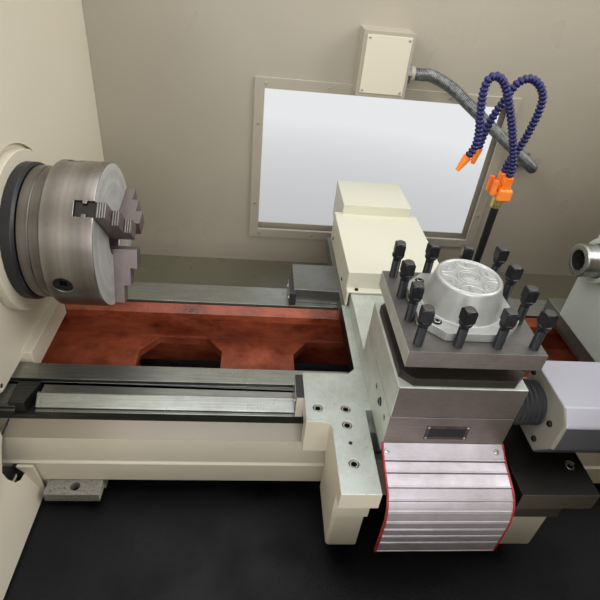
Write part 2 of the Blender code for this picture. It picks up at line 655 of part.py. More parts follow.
def build_spindle():
    """The spindle is a bored shaft with a nose flange and the belt pulley at its tail."""
    nose = PLATE_REAR - FIT
    flange_rear = nose - 0.012
    tail = PULLEY_X - 0.035
    pulley_left = PULLEY_X - PULLEY_WIDTH / 2
    pulley_right = PULLEY_X + PULLEY_WIDTH / 2
    profile = [
        (BORE_RADIUS, nose), (0.083, nose), (0.083, flange_rear), (JOURNAL_RADIUS, flange_rear),
        (JOURNAL_RADIUS, -0.230), (0.046, -0.230), (0.046, HEAD_LEFT + 0.055),
        (JOURNAL_RADIUS, HEAD_LEFT + 0.055),
        (JOURNAL_RADIUS, HEAD_LEFT - 0.004), (0.046, HEAD_LEFT - 0.004), (0.046, pulley_right),
        (PULLEY_RADIUS, pulley_right), (PULLEY_RADIUS, pulley_left), (0.046, pulley_left),
        (0.046, tail),
        (BORE_RADIUS, tail)]
    turned("spindle", profile, "x", (0, 0, 0), "spindle", STEEL, steps=36, ring=True)


def build_motor():
    """The main motor stands behind the headstock and drives the spindle by a flat belt."""
    left = PULLEY_X + PULLEY_WIDTH / 2 + 0.020
    motor = rod("spindle_motor", (0, MOTOR_Y, MOTOR_Z), "x", left, left + 0.34, MOTOR_RADIUS,
                finish=BLACK, sides=28)
    foot = box("motor_foot", (left + 0.04, MOTOR_Y - 0.08, TRAY_UNDER),
               (left + 0.30, MOTOR_Y + 0.08, MOTOR_Z),
               cutter=True)
    join(motor, foot)
    rim = MOTOR_PULLEY_RADIUS
    turned("motor_pulley", [(0, PULLEY_WIDTH / 2), (rim, PULLEY_WIDTH / 2), (rim, -PULLEY_WIDTH / 2),
                            (0, -PULLEY_WIDTH / 2)], "x", (PULLEY_X, MOTOR_Y, MOTOR_Z), "motor", STEEL,
                            steps=28)
    gap = math.hypot(MOTOR_Y, MOTOR_Z)
    heading = math.atan2(MOTOR_Z, MOTOR_Y)
    lean = math.asin((PULLEY_RADIUS - MOTOR_PULLEY_RADIUS) / gap)

    def loop(extra):
        """The belt's outline around both pulleys, as straight runs and arcs."""
        big, small = PULLEY_RADIUS + RUN + extra, MOTOR_PULLEY_RADIUS + RUN + extra
        start, end = heading + math.pi / 2 - lean, heading + 3 * math.pi / 2 + lean
        points = []
        for k in range(15):
            a = start + (end - start) * k / 14
            points.append((big * math.cos(a), big * math.sin(a)))
        start, end = heading - math.pi / 2 + lean, heading + math.pi / 2 - lean
        for k in range(11):
            a = start + (end - start) * k / 10
            points.append((MOTOR_Y + small * math.cos(a), MOTOR_Z + small * math.sin(a)))
        return points

    half = PULLEY_WIDTH / 2 - 0.006
    belt = plate("drive_belt", loop(BELT_THICK), "x", PULLEY_X - half, PULLEY_X + half, finish=RUBBER)
    inside = plate("belt_inside", loop(0.0), "x", PULLEY_X - half - 0.01, PULLEY_X + half + 0.01,
                   cutter=True)
    cut(belt, inside)


def turn_to(angle):
    """Turns a shape from pointing along +y to pointing at an angle about the spindle axis."""
    return Matrix.Rotation(math.radians(angle), 4, "X")


def build_chuck():
    """A plain-back three-jaw chuck: body, scroll, three key pinions and three stepped jaws."""
    turned("backplate", [(0.030, PLATE_REAR + BACKPLATE_LENGTH),
                         (BACKPLATE_RADIUS, PLATE_REAR + BACKPLATE_LENGTH),
                         (BACKPLATE_RADIUS, PLATE_REAR + 0.018),
                         (BACKPLATE_RADIUS - 0.0015, PLATE_REAR + 0.017),
                         (BACKPLATE_RADIUS, PLATE_REAR + 0.016), (BACKPLATE_RADIUS, PLATE_REAR),
                         (0.030, PLATE_REAR)], "x", (0, 0, 0), "spindle", STEEL, ring=True, steps=48)
    front_chamfer, rear_chamfer = 0.0015, 0.003
    body = turned("chuck_body", [
        (CHUCK_BORE, 0), (CHUCK_RADIUS - front_chamfer, 0), (CHUCK_RADIUS, -front_chamfer),
        (CHUCK_RADIUS, CHUCK_REAR + rear_chamfer), (CHUCK_RADIUS - rear_chamfer, CHUCK_REAR),
        (SCROLL_RADIUS + RUN, CHUCK_REAR), (SCROLL_RADIUS + RUN, -JAW_ROOT - FIT),
        (CHUCK_BORE + 0.012, -JAW_ROOT - FIT),
        (CHUCK_BORE + 0.012, CHUCK_REAR), (CHUCK_BORE, CHUCK_REAR)], "x", (0, 0, 0), "spindle", STEEL,
        ring=True, steps=56)
    wide, deep = JAW_WIDTH / 2 + FIT, JAW_ROOT + 2 * FIT
    for index, angle in enumerate(JAW_ANGLES, 1):
        waist = wide - 0.0048
        slot = plate(f"jaw_slot_{index}", [
            (-wide, 0.01), (-wide, -0.0115), (-waist, -0.0115), (-waist, -0.0185), (-wide, -0.0185),
            (-wide, -deep),
            (wide, -deep), (wide, -0.0185), (waist, -0.0185), (waist, -0.0115), (wide, -0.0115),
            (wide, 0.01)],
            "z", 0.020, CHUCK_RADIUS + 0.02, "spindle", cutter=True,
            turn=turn_to(angle) @ Matrix(((0, 1, 0, 0), (0, 0, 1, 0), (1, 0, 0, 0), (0, 0, 0, 1))))
        cut(body, slot)
    for index, angle in enumerate(PINION_ANGLES, 1):
        hole = rod(f"pinion_hole_{index}", (PINION_X, 0, 0), "y", SCROLL_RADIUS - 0.002,
                   CHUCK_RADIUS + 0.02, PINION_RADIUS + FIT * 2,
                   "spindle", sides=20, cutter=True)
        hole.matrix_basis = turn_to(angle) @ hole.matrix_basis
        cut(body, hole)
        pinion = rod(f"pinion_{index}", radial(angle, 0), "y", PINION_INNER, PINION_OUTER,
                     PINION_RADIUS,
                     f"pinion_{index}", DARK_STEEL, sides=20)
        socket = box(f"pinion_socket_{index}", (-0.0055, CHUCK_RADIUS - 0.018, -0.0055),
                     (0.0055, CHUCK_RADIUS + 0.01, 0.0055), cutter=True)
        for piece in (pinion, socket):
            piece.parent = carriers[f"pinion_{index}"][0]
            centre = Vector((0, PINION_OUTER, 0))
            if piece is pinion:
                centre.y = (PINION_INNER + PINION_OUTER) / 2
            place = Matrix.Translation(-radial(angle, PINION_REACH)) @ turn_to(angle)
            piece.matrix_basis = place @ Matrix.Translation(centre)
        cut(pinion, socket)
    rear = CHUCK_REAR + 0.010
    front = -JAW_ROOT - 3 * FIT
    turned("scroll", [(CHUCK_BORE + 0.013, front), (SCROLL_RADIUS, front), (SCROLL_RADIUS, rear),
                      (CHUCK_BORE + 0.013, rear)], "x", (0, 0, 0), "scroll", STEEL, ring=True, steps=40)
    for index, angle in enumerate(JAW_ANGLES, 1):
        build_jaw(index, angle)


def build_jaw(index, angle):
    """A jaw is one hardened block: a grooved root in the body's slot and three steps in front of it."""
    half, deep = JAW_WIDTH / 2, JAW_ROOT
    waist = half - 0.0055
    outer = JAW_INNER + 3 * JAW_STEP
    swap = Matrix(((0, 1, 0, 0), (0, 0, 1, 0), (1, 0, 0, 0), (0, 0, 0, 1)))
    jaw = plate(f"chuck_jaw_{index}", [
        (-half, 0.002), (-half, -0.011), (-waist, -0.011), (-waist, -0.019), (-half, -0.019),
        (-half, -deep),
        (half, -deep), (half, -0.019), (waist, -0.019), (waist, -0.011), (half, -0.011), (half, 0.002)],
        "z", JAW_INNER, outer - 0.001, f"jaw_{index}", STEEL, turn=turn_to(angle) @ swap)
    jaw.location = -carriers[f"jaw_{index}"][1]
    inner, middle, rim = (JAW_INNER + JAW_STEP * k for k in (1, 2, 3))
    tall, half_tall, short = JAW_HEIGHTS
    steps = plate(f"jaw_steps_{index}", [
        (0.0006, JAW_INNER - 0.001), (tall, JAW_INNER - 0.001), (tall, inner), (half_tall, inner),
        (half_tall, middle),
        (short, middle), (short, rim), (0.0006, rim)],
        "z", -half, half, f"jaw_{index}", cutter=True, turn=turn_to(angle))
    steps.location = jaw.location
    join(jaw, steps)


def build_saddle():
    """The saddle rides on the ways and carries the cross slide; its arms reach forward over the apron."""
    low = WAY_Z + FIT
    top = SADDLE_TOP
    wing_rear = 0.204
    outline = [
        (SADDLE_LEFT, WING_REAR), (SADDLE_LEFT, WING_FRONT), (ARM_LEFT - 0.012, WING_FRONT),
        (ARM_LEFT - 0.003, WING_FRONT - 0.004), (ARM_LEFT, WING_FRONT - 0.012),
        (ARM_LEFT, SADDLE_FRONT),
        (SLIDE_LEFT - 0.010, SADDLE_FRONT), (SLIDE_LEFT - 0.010, CHANNEL_BACK),
        (SLIDE_RIGHT + 0.010, CHANNEL_BACK),
        (SLIDE_RIGHT + 0.010, SADDLE_FRONT), (SADDLE_RIGHT, SADDLE_FRONT), (SADDLE_RIGHT, WING_REAR),
        (SLIDE_RIGHT + 0.042, WING_REAR), (SLIDE_RIGHT + 0.030, WING_REAR + 0.012),
        (SLIDE_RIGHT + 0.030, 0.098), (SADDLE_RIGHT, 0.102),
        (SADDLE_RIGHT, wing_rear), (SLIDE_RIGHT + 0.030, wing_rear), (SLIDE_RIGHT + 0.030, SADDLE_REAR),
        (SLIDE_LEFT - 0.018, SADDLE_REAR), (SLIDE_LEFT - 0.018, wing_rear),
        (SADDLE_LEFT - 0.004, wing_rear),
        (SADDLE_LEFT - 0.004, 0.102), (SLIDE_LEFT - 0.016, 0.098),
        (SLIDE_LEFT - 0.016, WING_REAR + 0.012),
        (SLIDE_LEFT - 0.028, WING_REAR)]
    saddle = plate("saddle", outline, "z", low, top, "carriage", STEEL)
    lower = [(ARM_LEFT, SADDLE_FRONT + 0.022), (ARM_LEFT, BED_FRONT_Y - 0.012)]
    left_leg = box("saddle_leg_left", (lower[0][0], lower[0][1], low - 0.060),
                   (SLIDE_LEFT - 0.012, lower[1][1], low + 0.01),
                   "carriage", cutter=True)
    right_leg = box("saddle_leg_right", (SLIDE_RIGHT + 0.012, lower[0][1], low - 0.060),
                    (SADDLE_RIGHT - 0.02, lower[1][1], low + 0.01), "carriage", cutter=True)
    gib = box("saddle_front_gib", (SADDLE_LEFT, WING_FRONT, WAY_Z - 0.040),
              (SADDLE_RIGHT, BED_FRONT_Y - 0.003, low + 0.01),
              "carriage", cutter=True)
    nut = box("feed_nut_block", (SLIDE_MIDDLE - 0.028, SCREW_Z_Y - 0.065, SCREW_Z_Z - 0.030),
              (SLIDE_MIDDLE + 0.052, SCREW_Z_Y + 0.030, low + 0.01),
              "carriage", cutter=True)
    rail = plate("saddle_dovetail", [
        (SLIDE_MIDDLE - DOVETAIL_WIDTH / 2 + 0.008, top - 0.004),
        (SLIDE_MIDDLE - DOVETAIL_WIDTH / 2, top + DOVETAIL_RISE),
        (SLIDE_MIDDLE + DOVETAIL_WIDTH / 2, top + DOVETAIL_RISE),
        (SLIDE_MIDDLE + DOVETAIL_WIDTH / 2 - 0.008, top - 0.004)],
        "y", CHANNEL_BACK + 0.040, SADDLE_REAR - 0.002, "carriage", cutter=True)
    join(saddle, left_leg, right_leg, gib, nut, rail)
    vee = plate("saddle_vee", [
        (VEE_FRONT_Y - 0.003, low - 0.02), (VEE_FRONT_Y - 0.003, WAY_Z - 0.012),
        (VEE_PEAK_Y, WAY_Z + 0.006),
        (FRONT_WAY[0] - 0.002, WAY_Z - 0.004), (FRONT_WAY[0] - 0.002, low - 0.02)],
        "x", SADDLE_LEFT - 0.02, SADDLE_RIGHT + 0.02, "carriage", cutter=True)
    channel = box("screw_channel", (SLIDE_MIDDLE - 0.022, CHANNEL_BACK + 0.03, X_SCREW_Z - 0.0135),
                  (SLIDE_MIDDLE + 0.022, SADDLE_REAR + 0.01, top + DOVETAIL_RISE + 0.01), "carriage",
                  cutter=True)
    bore = rod("feed_nut_bore", (SLIDE_MIDDLE, SCREW_Z_Y, SCREW_Z_Z), "x", -0.068, 0.092,
               SCREW_RADIUS + RUN, "carriage",
               sides=20, cutter=True)
    screw_bore = rod("cross_nut_bore", (SLIDE_MIDDLE, 0, X_SCREW_Z), "y", CHANNEL_BACK - 0.02, 0,
                     CROSS_SCREW_RADIUS + RUN,
                     "carriage", sides=20, cutter=True)
    cut(saddle, vee, channel, bore, screw_bore)
    for k, (x, y) in enumerate(((0.363, -0.237), (0.410, -0.238), (0.408, -0.272), (0.409, -0.345),
                                (0.754, -0.344), (0.710, -0.238), (0.754, -0.238))):
        sink = rod(f"saddle_counterbore_{k}", (x, y, 0), "z", top - 0.012, top + 0.01, 0.0085,
                   "carriage",
                   sides=16, cutter=True)
        cut(saddle, sink)
    wiper_front = [(-0.214, WAY_Z - 0.016), (-0.214, top - 0.003), (-0.158, top - 0.003),
                   (-0.158, WAY_Z + 0.0006),
                   (-0.172, WAY_Z + 0.0006), (VEE_PEAK_Y, WAY_Z + 0.006), (-0.210, WAY_Z - 0.010),
                   (-0.210, WAY_Z - 0.016)]
    wiper_rear = [(0.089, WAY_Z + 0.0006), (0.089, top - 0.004), (0.150, top - 0.004),
                  (0.150, WAY_Z + 0.0006)]
    for side, (a, b) in (("left", (SADDLE_LEFT - 0.013, SADDLE_LEFT + 0.001)),
                         ("right", (SADDLE_RIGHT - 0.001, SADDLE_RIGHT + 0.012))):
        for place, shape in (("front", wiper_front), ("rear", wiper_rear)):
            wiper = plate(f"wiper_{side}_{place}", shape, "x", a, b, "carriage", cutter=True)
            join(saddle, wiper)


def build_apron():
    """The apron is the casting under the saddle's arms; its middle is open where the slat cover moves."""
    top = WAY_Z + FIT - 0.060 - FIT
    apron = box("apron", (ARM_LEFT + 0.004, SADDLE_FRONT + 0.030, BED_FOOT_Z + 0.006),
                (SADDLE_RIGHT - 0.024, BED_FRONT_Y - 0.016, top), "carriage", CREAM, bevel=0.004)
    recess = box("apron_recess", (SLIDE_LEFT - 0.014, SADDLE_FRONT, -0.40),
                 (SLIDE_RIGHT + 0.014, SADDLE_FRONT + 0.125, top + 0.02), "carriage", cutter=True)
    cut(apron, recess)


def build_cross_slide():
    """The cross slide rides the saddle's dovetail and carries the turret's raiser block."""
    low = SADDLE_TOP + FIT
    outline = [(SLIDE_FRONT, low), (SLIDE_REAR, low), (SLIDE_REAR, SLIDE_TOP), (RAISER_REAR, SLIDE_TOP),
               (RAISER_REAR, RAISER_BASE), (SLIDE_FRONT, RAISER_BASE)]
    slide = plate("cross_slide", outline, "x", SLIDE_LEFT, SLIDE_RIGHT, "slide", STEEL)
    half = DOVETAIL_WIDTH / 2 + RUN
    groove = plate("slide_dovetail", [
        (SLIDE_MIDDLE - half + 0.0085, low - 0.004), (SLIDE_MIDDLE - half, low + DOVETAIL_RISE + RUN),
        (SLIDE_MIDDLE + half, low + DOVETAIL_RISE + RUN), (SLIDE_MIDDLE + half - 0.0085, low - 0.004)],
        "y", SLIDE_FRONT - 0.02, SLIDE_REAR + 0.02, "slide", cutter=True)
    cut(slide, groove)
    nut = box("cross_nut_block", (SLIDE_MIDDLE - 0.014, -0.090, X_SCREW_Z - 0.0125),
              (SLIDE_MIDDLE + 0.014, -0.045, SLIDE_TOP - 0.005), "slide", cutter=True)
    nut_bore = rod("cross_nut_thread", (SLIDE_MIDDLE, 0, X_SCREW_Z), "y", -0.12, -0.02,
                   CROSS_SCREW_RADIUS + RUN, "slide",
                   sides=20, cutter=True)
    join(slide, nut)
    cut(slide, nut_bore)
    for k, y in enumerate((-0.235, -0.268, -0.300)):
        sink = rod(f"gib_screw_hole_{k}", (SLIDE_LEFT, y, -0.118), "x", -0.01, 0.008,
                   0.005 if k != 1 else 0.0075,
                   "slide", sides=12, cutter=True)
        cut(slide, sink)
    box("turret_base", (SLIDE_LEFT, SLIDE_FRONT, RAISER_BASE + FIT),
        (SLIDE_RIGHT, RAISER_REAR, RAISER_TOP), "slide",
        STEEL, bevel=0.0012)


def build_cross_drive():
    """The cross screw runs in the saddle's channel; its motor sits under the cream cover behind."""
    screw_end = SADDLE_REAR + 0.020
    front = CHANNEL_BACK + 0.004
    turned("cross_screw", [(0, screw_end), (CROSS_SCREW_RADIUS, screw_end), (CROSS_SCREW_RADIUS, front),
                           (0, front)],
           "y", (SLIDE_MIDDLE, 0, X_SCREW_Z), "cross_screw", STEEL, steps=20)
    servo = box("cross_servo", (SLIDE_MIDDLE - 0.045, SADDLE_REAR + FIT, X_SCREW_Z - 0.045),
                (SLIDE_MIDDLE + 0.045, SADDLE_REAR + 0.115, X_SCREW_Z + 0.045), "carriage", BLACK,
                bevel=0.004)
    bore = rod("servo_bore", (SLIDE_MIDDLE, 0, X_SCREW_Z), "y", SADDLE_REAR - 0.02, screw_end + 0.004,
               CROSS_SCREW_RADIUS + RUN,
               "carriage", sides=20, cutter=True)
    cut(servo, bore)


def build_cross_cover():
    """The cream cover over the cross screw is a folded box with a raised hood for the motor."""
    left, right = SLIDE_LEFT - 0.009, SLIDE_RIGHT + 0.009
    front, rear, hood_rear = COVER_FRONT, SADDLE_REAR, WALL_Y - 0.025
    low = SADDLE_TOP + FIT
    top, hood_top = SLIDE_TOP + 0.045, SLIDE_TOP + 0.071
    hood_left, hood_right = SLIDE_LEFT + 0.010, SLIDE_RIGHT - 0.010
    cover = box("cross_cover", (left, front - 0.014, low), (right, rear, top), "carriage", CREAM)
    hood = box("cover_hood", (hood_left, rear - 0.012, low), (hood_right, hood_rear, hood_top),
               "carriage", cutter=True)
    join(cover, hood)
    front_cut = box("cover_front_step", (left - 0.01, front - 0.03, SLIDE_TOP + 0.006),
                    (right + 0.01, front, top + 0.02),
                    "carriage", cutter=True)
    inside = box("cover_inside_low", (left + SHEET, front + SHEET, low - 0.02),
                 (right - SHEET, rear - SHEET, top - SHEET),
                 "carriage", cutter=True)
    hood_inside = box("cover_inside_hood", (hood_left + SHEET, rear - 0.009, low - 0.02),
                      (hood_right - SHEET, hood_rear - SHEET, hood_top - SHEET), "carriage",
                      cutter=True)
    slot = box("cover_slide_slot", (SLIDE_LEFT - 0.004, front - 0.03, low - 0.02),
               (SLIDE_RIGHT + 0.004, front + 0.02, SLIDE_TOP + 0.001), "carriage", cutter=True)
    cut(cover, front_cut, inside, hood_inside, slot)


def build_turret():
    """The four-way turret head, with its twelve clamping screws, and the round cap over its encoder."""
    low = RAISER_TOP + FIT
    half = TURRET_HALF
    head = box("turret_head", (TURRET_X - half, TURRET_Y - half, SLAB_BOTTOM),
               (TURRET_X + half, TURRET_Y + half, SLAB_TOP),
               "turret", STEEL, bevel=0.001)
    inner = half - 0.004
    flange = box("turret_flange", (TURRET_X - inner, TURRET_Y - inner, low),
                 (TURRET_X + inner, TURRET_Y + inner, low + TURRET_FLANGE),
                 "turret", bevel=0.018, cutter=True)
    core = box("turret_core", (TURRET_X - TURRET_CORE, TURRET_Y - TURRET_CORE, low + 0.004),
               (TURRET_X + TURRET_CORE, TURRET_Y + TURRET_CORE, SLAB_BOTTOM + 0.004), "turret",
               cutter=True)
    join(head, flange, core)
    edge = half - TOOL_SCREW_INSET
    for side in range(4):
        spin = Matrix.Rotation(math.radians(90 * side), 3, "Z")
        for k in range(3):
            spot = Vector((TURRET_X, TURRET_Y, 0)) + spin @ Vector((-edge + TOOL_SCREW_PITCH * k, -edge,
                                                                    0))
            shank = rod(f"tool_screw_{side}{k}", spot, "z", SLAB_BOTTOM - 0.006,
                        TOOL_SCREW_TOP - TOOL_HEAD_HEIGHT + 0.002,
                        TOOL_SCREW_RADIUS, "turret", sides=10, cutter=True)
            crown = rod(f"tool_screw_head_{side}{k}", spot, "z", TOOL_SCREW_TOP - TOOL_HEAD_HEIGHT,
                        TOOL_SCREW_TOP,
                        TOOL_HEAD_HALF * math.sqrt(2), "turret", sides=4, cutter=True)
            join(head, shank, crown)
    base = SLAB_TOP + FIT
    cut_corner = CAP_FLANGE_HALF - 0.032
    reach = CAP_FLANGE_HALF
    octagon = [(-reach, -cut_corner), (-cut_corner, -reach), (cut_corner, -reach), (reach, -cut_corner),
               (reach, cut_corner), (cut_corner, reach), (-cut_corner, reach), (-reach, cut_corner)]
    cap = plate("turret_cap", octagon, "z", base, base + CAP_FLANGE_THICK, "turret", ALUMINIUM,
                at=(TURRET_X, TURRET_Y, 0))
    drum = turned("cap_drum", [(0, CAP_TOP), (CAP_TOP_RADIUS - 0.005, CAP_TOP),
                               (CAP_TOP_RADIUS, CAP_TOP - 0.005),
                               (CAP_BASE_RADIUS, base + CAP_FLANGE_THICK + 0.002),
                               (CAP_BASE_RADIUS, base + 0.006),
                               (0, base + 0.006)], "z", (TURRET_X, TURRET_Y, 0), "turret", ring=False,
                               steps=32, cutter=True)
    join(cap, drum)


def build_turret_motor():
    """The turret's drive motor lies beside the raiser block under a light grey cover, on a black flange."""
    left, right = SLIDE_RIGHT + 0.047, SLIDE_RIGHT + 0.287
    front, rear = SLIDE_FRONT - 0.040, SLIDE_FRONT + 0.079
    low, top = RAISER_TOP - 0.125, RAISER_TOP - 0.010
    slope = 0.020
    outline = [(rear, top), (front + slope, top), (front, top - slope), (front, top - 0.070),
               (front + 0.030, low),
               (rear, low)]
    motor = plate("turret_motor", outline, "x", left, right, "slide", ALUMINIUM)
    soften(motor, 0.003)
    neck = rod("turret_motor_neck", (0, SLIDE_FRONT + 0.032, RAISER_TOP - 0.058), "x",
               SLIDE_RIGHT + FIT, left + 0.01, 0.030, "slide", sides=24,
               cutter=True)
    join(motor, neck)


def build_slat_cover():
    """The slat cover hangs from the front of the cross slide: hinged aluminium slats between red edges."""
    left, right = SLIDE_LEFT - 0.0015, SLIDE_RIGHT + 0.0015
    top = SADDLE_TOP + 0.022
    path = [(SLIDE_FRONT - FIT, top), (SLIDE_FRONT - 0.016, top - 0.010),
            (SLIDE_FRONT - 0.034, top - 0.017),
            (SLIDE_FRONT - 0.052, top - 0.022), (SLIDE_FRONT - 0.070, top - 0.029),
            (SLIDE_FRONT - 0.083, top - 0.043),
            (SLIDE_FRONT - 0.089, top - 0.062), (SLIDE_FRONT - 0.091, top - 0.082),
            (SLIDE_FRONT - 0.091, top - 0.150)]
    thick = 0.004
    inner = [(path[0][0], path[0][1] - thick - 0.002)]
    for k in range(1, len(path)):
        before, after = path[k - 1], path[min(k + 1, len(path) - 1)]
        run = (Vector(after) - Vector(before)).normalized()
        inner.append((path[k][0] - run.y * thick, path[k][1] + run.x * thick))
    plate("slat_cover", path + inner[::-1], "x", left, right, "slide", PALE_ALUMINIUM)


def build_coolant():
    """The coolant riser stands on the saddle and carries an orange valve, two taps, hoses and nozzles."""
    x, y = RISER_AT
    riser = rod("coolant_riser", (x, y, 0), "z", SADDLE_TOP + FIT, VALVE_Z - 0.028, 0.007, "carriage",
                DARK_STEEL, sides=16)
    foot = box("riser_foot", (x - 0.0145, y - 0.012, SADDLE_TOP + FIT),
               (x + 0.012, y + 0.012, SADDLE_TOP + 0.009),
               "carriage", cutter=True)
    collar = rod("riser_fitting", (x, y, 0), "z", VALVE_Z - 0.030, VALVE_Z - 0.012 - FIT, 0.0095,
                 "carriage", sides=6,
                 cutter=True)
    join(riser, foot, collar)
    valve = box("coolant_valve", (x - 0.012, y - 0.021, VALVE_Z - 0.012),
                (x + 0.012, y + 0.021, VALVE_Z + 0.010),
                "carriage", ORANGE, bevel=0.003)
    for k, side in enumerate((-1, 1)):
        where = (x, y + side * TAP_OFFSET)
        port = rod(f"valve_port_{k}", (*where, 0), "z", VALVE_Z, HOSE_START_Z, 0.0085, "carriage",
                   sides=16, cutter=True)
        bore = rod(f"valve_tap_bore_{k}", (*where, VALVE_Z), "x", -0.030, 0.0, 0.0045, "carriage",
                   sides=12, cutter=True)
        join(valve, port)
        cut(valve, bore)
        tap = rod(f"coolant_tap_{k + 1}", (*where, VALVE_Z), "x", -0.022, -0.0006, 0.0037,
                  f"tap_{k + 1}", ORANGE, sides=12)
        lever = box(f"tap_lever_{k + 1}", (x - 0.022, where[1] - 0.004, VALVE_Z - 0.004),
                    (x - 0.0145, where[1] + 0.004, VALVE_Z + 0.022), f"tap_{k + 1}", cutter=True)
        join(tap, lever)
    for k, route in enumerate((HOSE_ROUTE_1, HOSE_ROUTE_2), 1):
        tube(f"coolant_hose_{k}", route, HOSE_RADIUS, "carriage", BLUE, HOSE_POINTS)
        before, end = smooth_route(route, HOSE_POINTS)[-2:]
        heading = (end - before).normalized()
        nozzle = rod(f"coolant_nozzle_{k}", (0, 0, 0), "z", 0.0, 0.026, 0.0075, "carriage", ORANGE,
                     sides=16, top=0.0035)
        place = Matrix.Translation(end + heading * (FIT + 0.013) - carriers["carriage"][1])
        nozzle.matrix_basis = place @ heading.to_track_quat("Z", "Y").to_matrix().to_4x4()
        bore = rod(f"nozzle_bore_{k}", (0, 0, 0), "z", 0.0, 0.020, 0.0018, "carriage", sides=8,
                   cutter=True)
        bore.matrix_basis = nozzle.matrix_basis @ Matrix.Translation((0, 0, 0.008))
        cut(nozzle, bore)


def build_feed_drive():
    """The long feed screw lies behind the bed, with its servo motor at the right-hand end."""
    end = BED_RIGHT - 0.055 + 0.040 + 0.020
    turned("feed_screw", [(0, end), (SCREW_RADIUS, end), (SCREW_RADIUS, -0.125), (0, -0.125)], "x",
           (0, SCREW_Z_Y, SCREW_Z_Z), "feed_screw", STEEL, steps=20)
    front = BED_RIGHT - 0.055 + 0.040 + FIT
    servo = box("feed_servo", (front, SCREW_Z_Y - 0.045, SCREW_Z_Z - 0.045),
                (front + 0.115, SCREW_Z_Y + 0.045, SCREW_Z_Z + 0.045),
                finish=BLACK, bevel=0.004)
    bore = rod("feed_servo_bore", (front, SCREW_Z_Y, SCREW_Z_Z), "x", -0.02, 0.024, SCREW_RADIUS + RUN,
               sides=20, cutter=True)
    cut(servo, bore)


def build_tailstock():
    """The tailstock: a base on the ways, a body on it, a quill moved by a handwheel, and two clamp levers."""
    face, end = TAIL_FACE_X, TAIL_FACE_X + TAIL_LENGTH
    low = WAY_Z + FIT
    base = box("tailstock_base", (face + 0.006, -0.148, low), (end - 0.02, 0.120, TAIL_BASE_TOP),
               "tailstock", STEEL, bevel=0.002)
    key = box("tail_key", (face + 0.016, FRONT_WAY[1] + 0.004, WAY_Z - 0.016),
              (end - 0.03, REAR_WAY[0] - 0.024, low + 0.01),
              "tailstock", cutter=True)
    join(base, key)
    outline = [(-0.130, TAIL_BASE_TOP + FIT), (TAIL_REAR, TAIL_BASE_TOP + FIT), (TAIL_REAR, 0.045),
               (0.032, 0.072),
               (-0.036, 0.072), (-0.060, 0.048), (-0.070, -0.060), (-0.112, -0.105), (-0.130, -0.125)]
    body = plate("tailstock_body", outline, "x", face, end, "tailstock", GREY_GREEN)
    soften(body, 0.003)
    hub = rod("tail_hub", (0, 0, 0), "x", face - 0.022, face + 0.01, 0.044, "tailstock", sides=32,
              cutter=True)
    join(body, hub)
    bore = rod("tail_bore", (0, 0, 0), "x", face - 0.04, end + 0.02, QUILL_RADIUS + RUN, "tailstock",
               sides=32, cutter=True)
    lock_bore = rod("lock_bore", (LOCK_AT[0], 0, 0), "z", 0.040, 0.10, 0.0095, "tailstock", sides=16,
                    cutter=True)
    cut(body, bore, lock_bore)
    quill_end = end - 0.045
    socket = QUILL_FRONT + 0.120
    turned("quill", [(0.013, quill_end), (QUILL_RADIUS, quill_end), (QUILL_RADIUS, QUILL_FRONT + 0.002),
                     (QUILL_RADIUS - 0.002, QUILL_FRONT), (QUILL_MOUTH, QUILL_FRONT), (0.0165, socket),
                     (0.013, socket)],
           "x", (0, 0, 0), "quill", STEEL, ring=True, steps=32)
    screw_tip = socket + QUILL_TRAVEL[1] + 0.020
    wheel_x = WHEEL_X
    rim = HANDWHEEL_RADIUS
    wheel = turned("handwheel", [
        (0, wheel_x + 0.022), (0.022, wheel_x + 0.022), (0.022, wheel_x + 0.008),
        (rim - 0.016, wheel_x + 0.006),
        (rim - 0.013, wheel_x + 0.010), (rim - 0.003, wheel_x + 0.010), (rim, wheel_x + 0.004),
        (rim, wheel_x - 0.004),
        (rim - 0.003, wheel_x - 0.010), (rim - 0.013, wheel_x - 0.010), (rim - 0.016, wheel_x - 0.006),
        (0.022, wheel_x - 0.008), (0.022, wheel_x - 0.020), (0.012, wheel_x - 0.020),
        (0.012, screw_tip), (0, screw_tip)], "x", (0, 0, 0), "handwheel", ALUMINIUM, steps=32)
    crank = rod("wheel_handle", (wheel_x, 0, rim - 0.014), "x", 0.0, 0.090, 0.011, "handwheel",
                sides=12, top=0.008, cutter=True)
    join(wheel, crank)
    end_cap = box("tail_end_cap", (end - 0.004, -0.045, -0.045), (end + 0.020, 0.045, 0.045),
                  "tailstock", cutter=True)
    cap_bore = rod("tail_end_bore", (0, 0, 0), "x", end - 0.01, end + 0.03, 0.0128, "tailstock",
                   sides=20, cutter=True)
    join(body, end_cap)
    cut(body, cap_bore)
    lock = rod("quill_lock", (LOCK_AT[0], 0, 0), "z", 0.045, 0.088, 0.0087, "quill_lock", DARK_STEEL,
               sides=16)
    arm = rod("lock_arm", (LOCK_AT[0], 0, 0.084), "y", -0.110, 0.004, 0.0055, "quill_lock", sides=10,
              cutter=True)
    knob = rod("lock_knob", (LOCK_AT[0], 0, 0.084), "y", -0.135, -0.105, 0.011, "quill_lock", sides=12,
               cutter=True)
    join(lock, arm, knob)
    x, y, z = CLAMP_AT
    clamp = rod("tail_clamp", (x, 0, z), "y", TAIL_REAR + RUN, 0.095, 0.010, "tail_clamp", DARK_STEEL,
                sides=16)
    clamp_arm = rod("clamp_arm", (x, 0.086, z), "z", -0.004, 0.150, 0.007, "tail_clamp", sides=10,
                    cutter=True)
    clamp_knob = rod("clamp_knob", (x, 0.086, z), "z", 0.140, 0.175, 0.013, "tail_clamp", sides=12,
                     cutter=True)
    join(clamp, clamp_arm, clamp_knob)


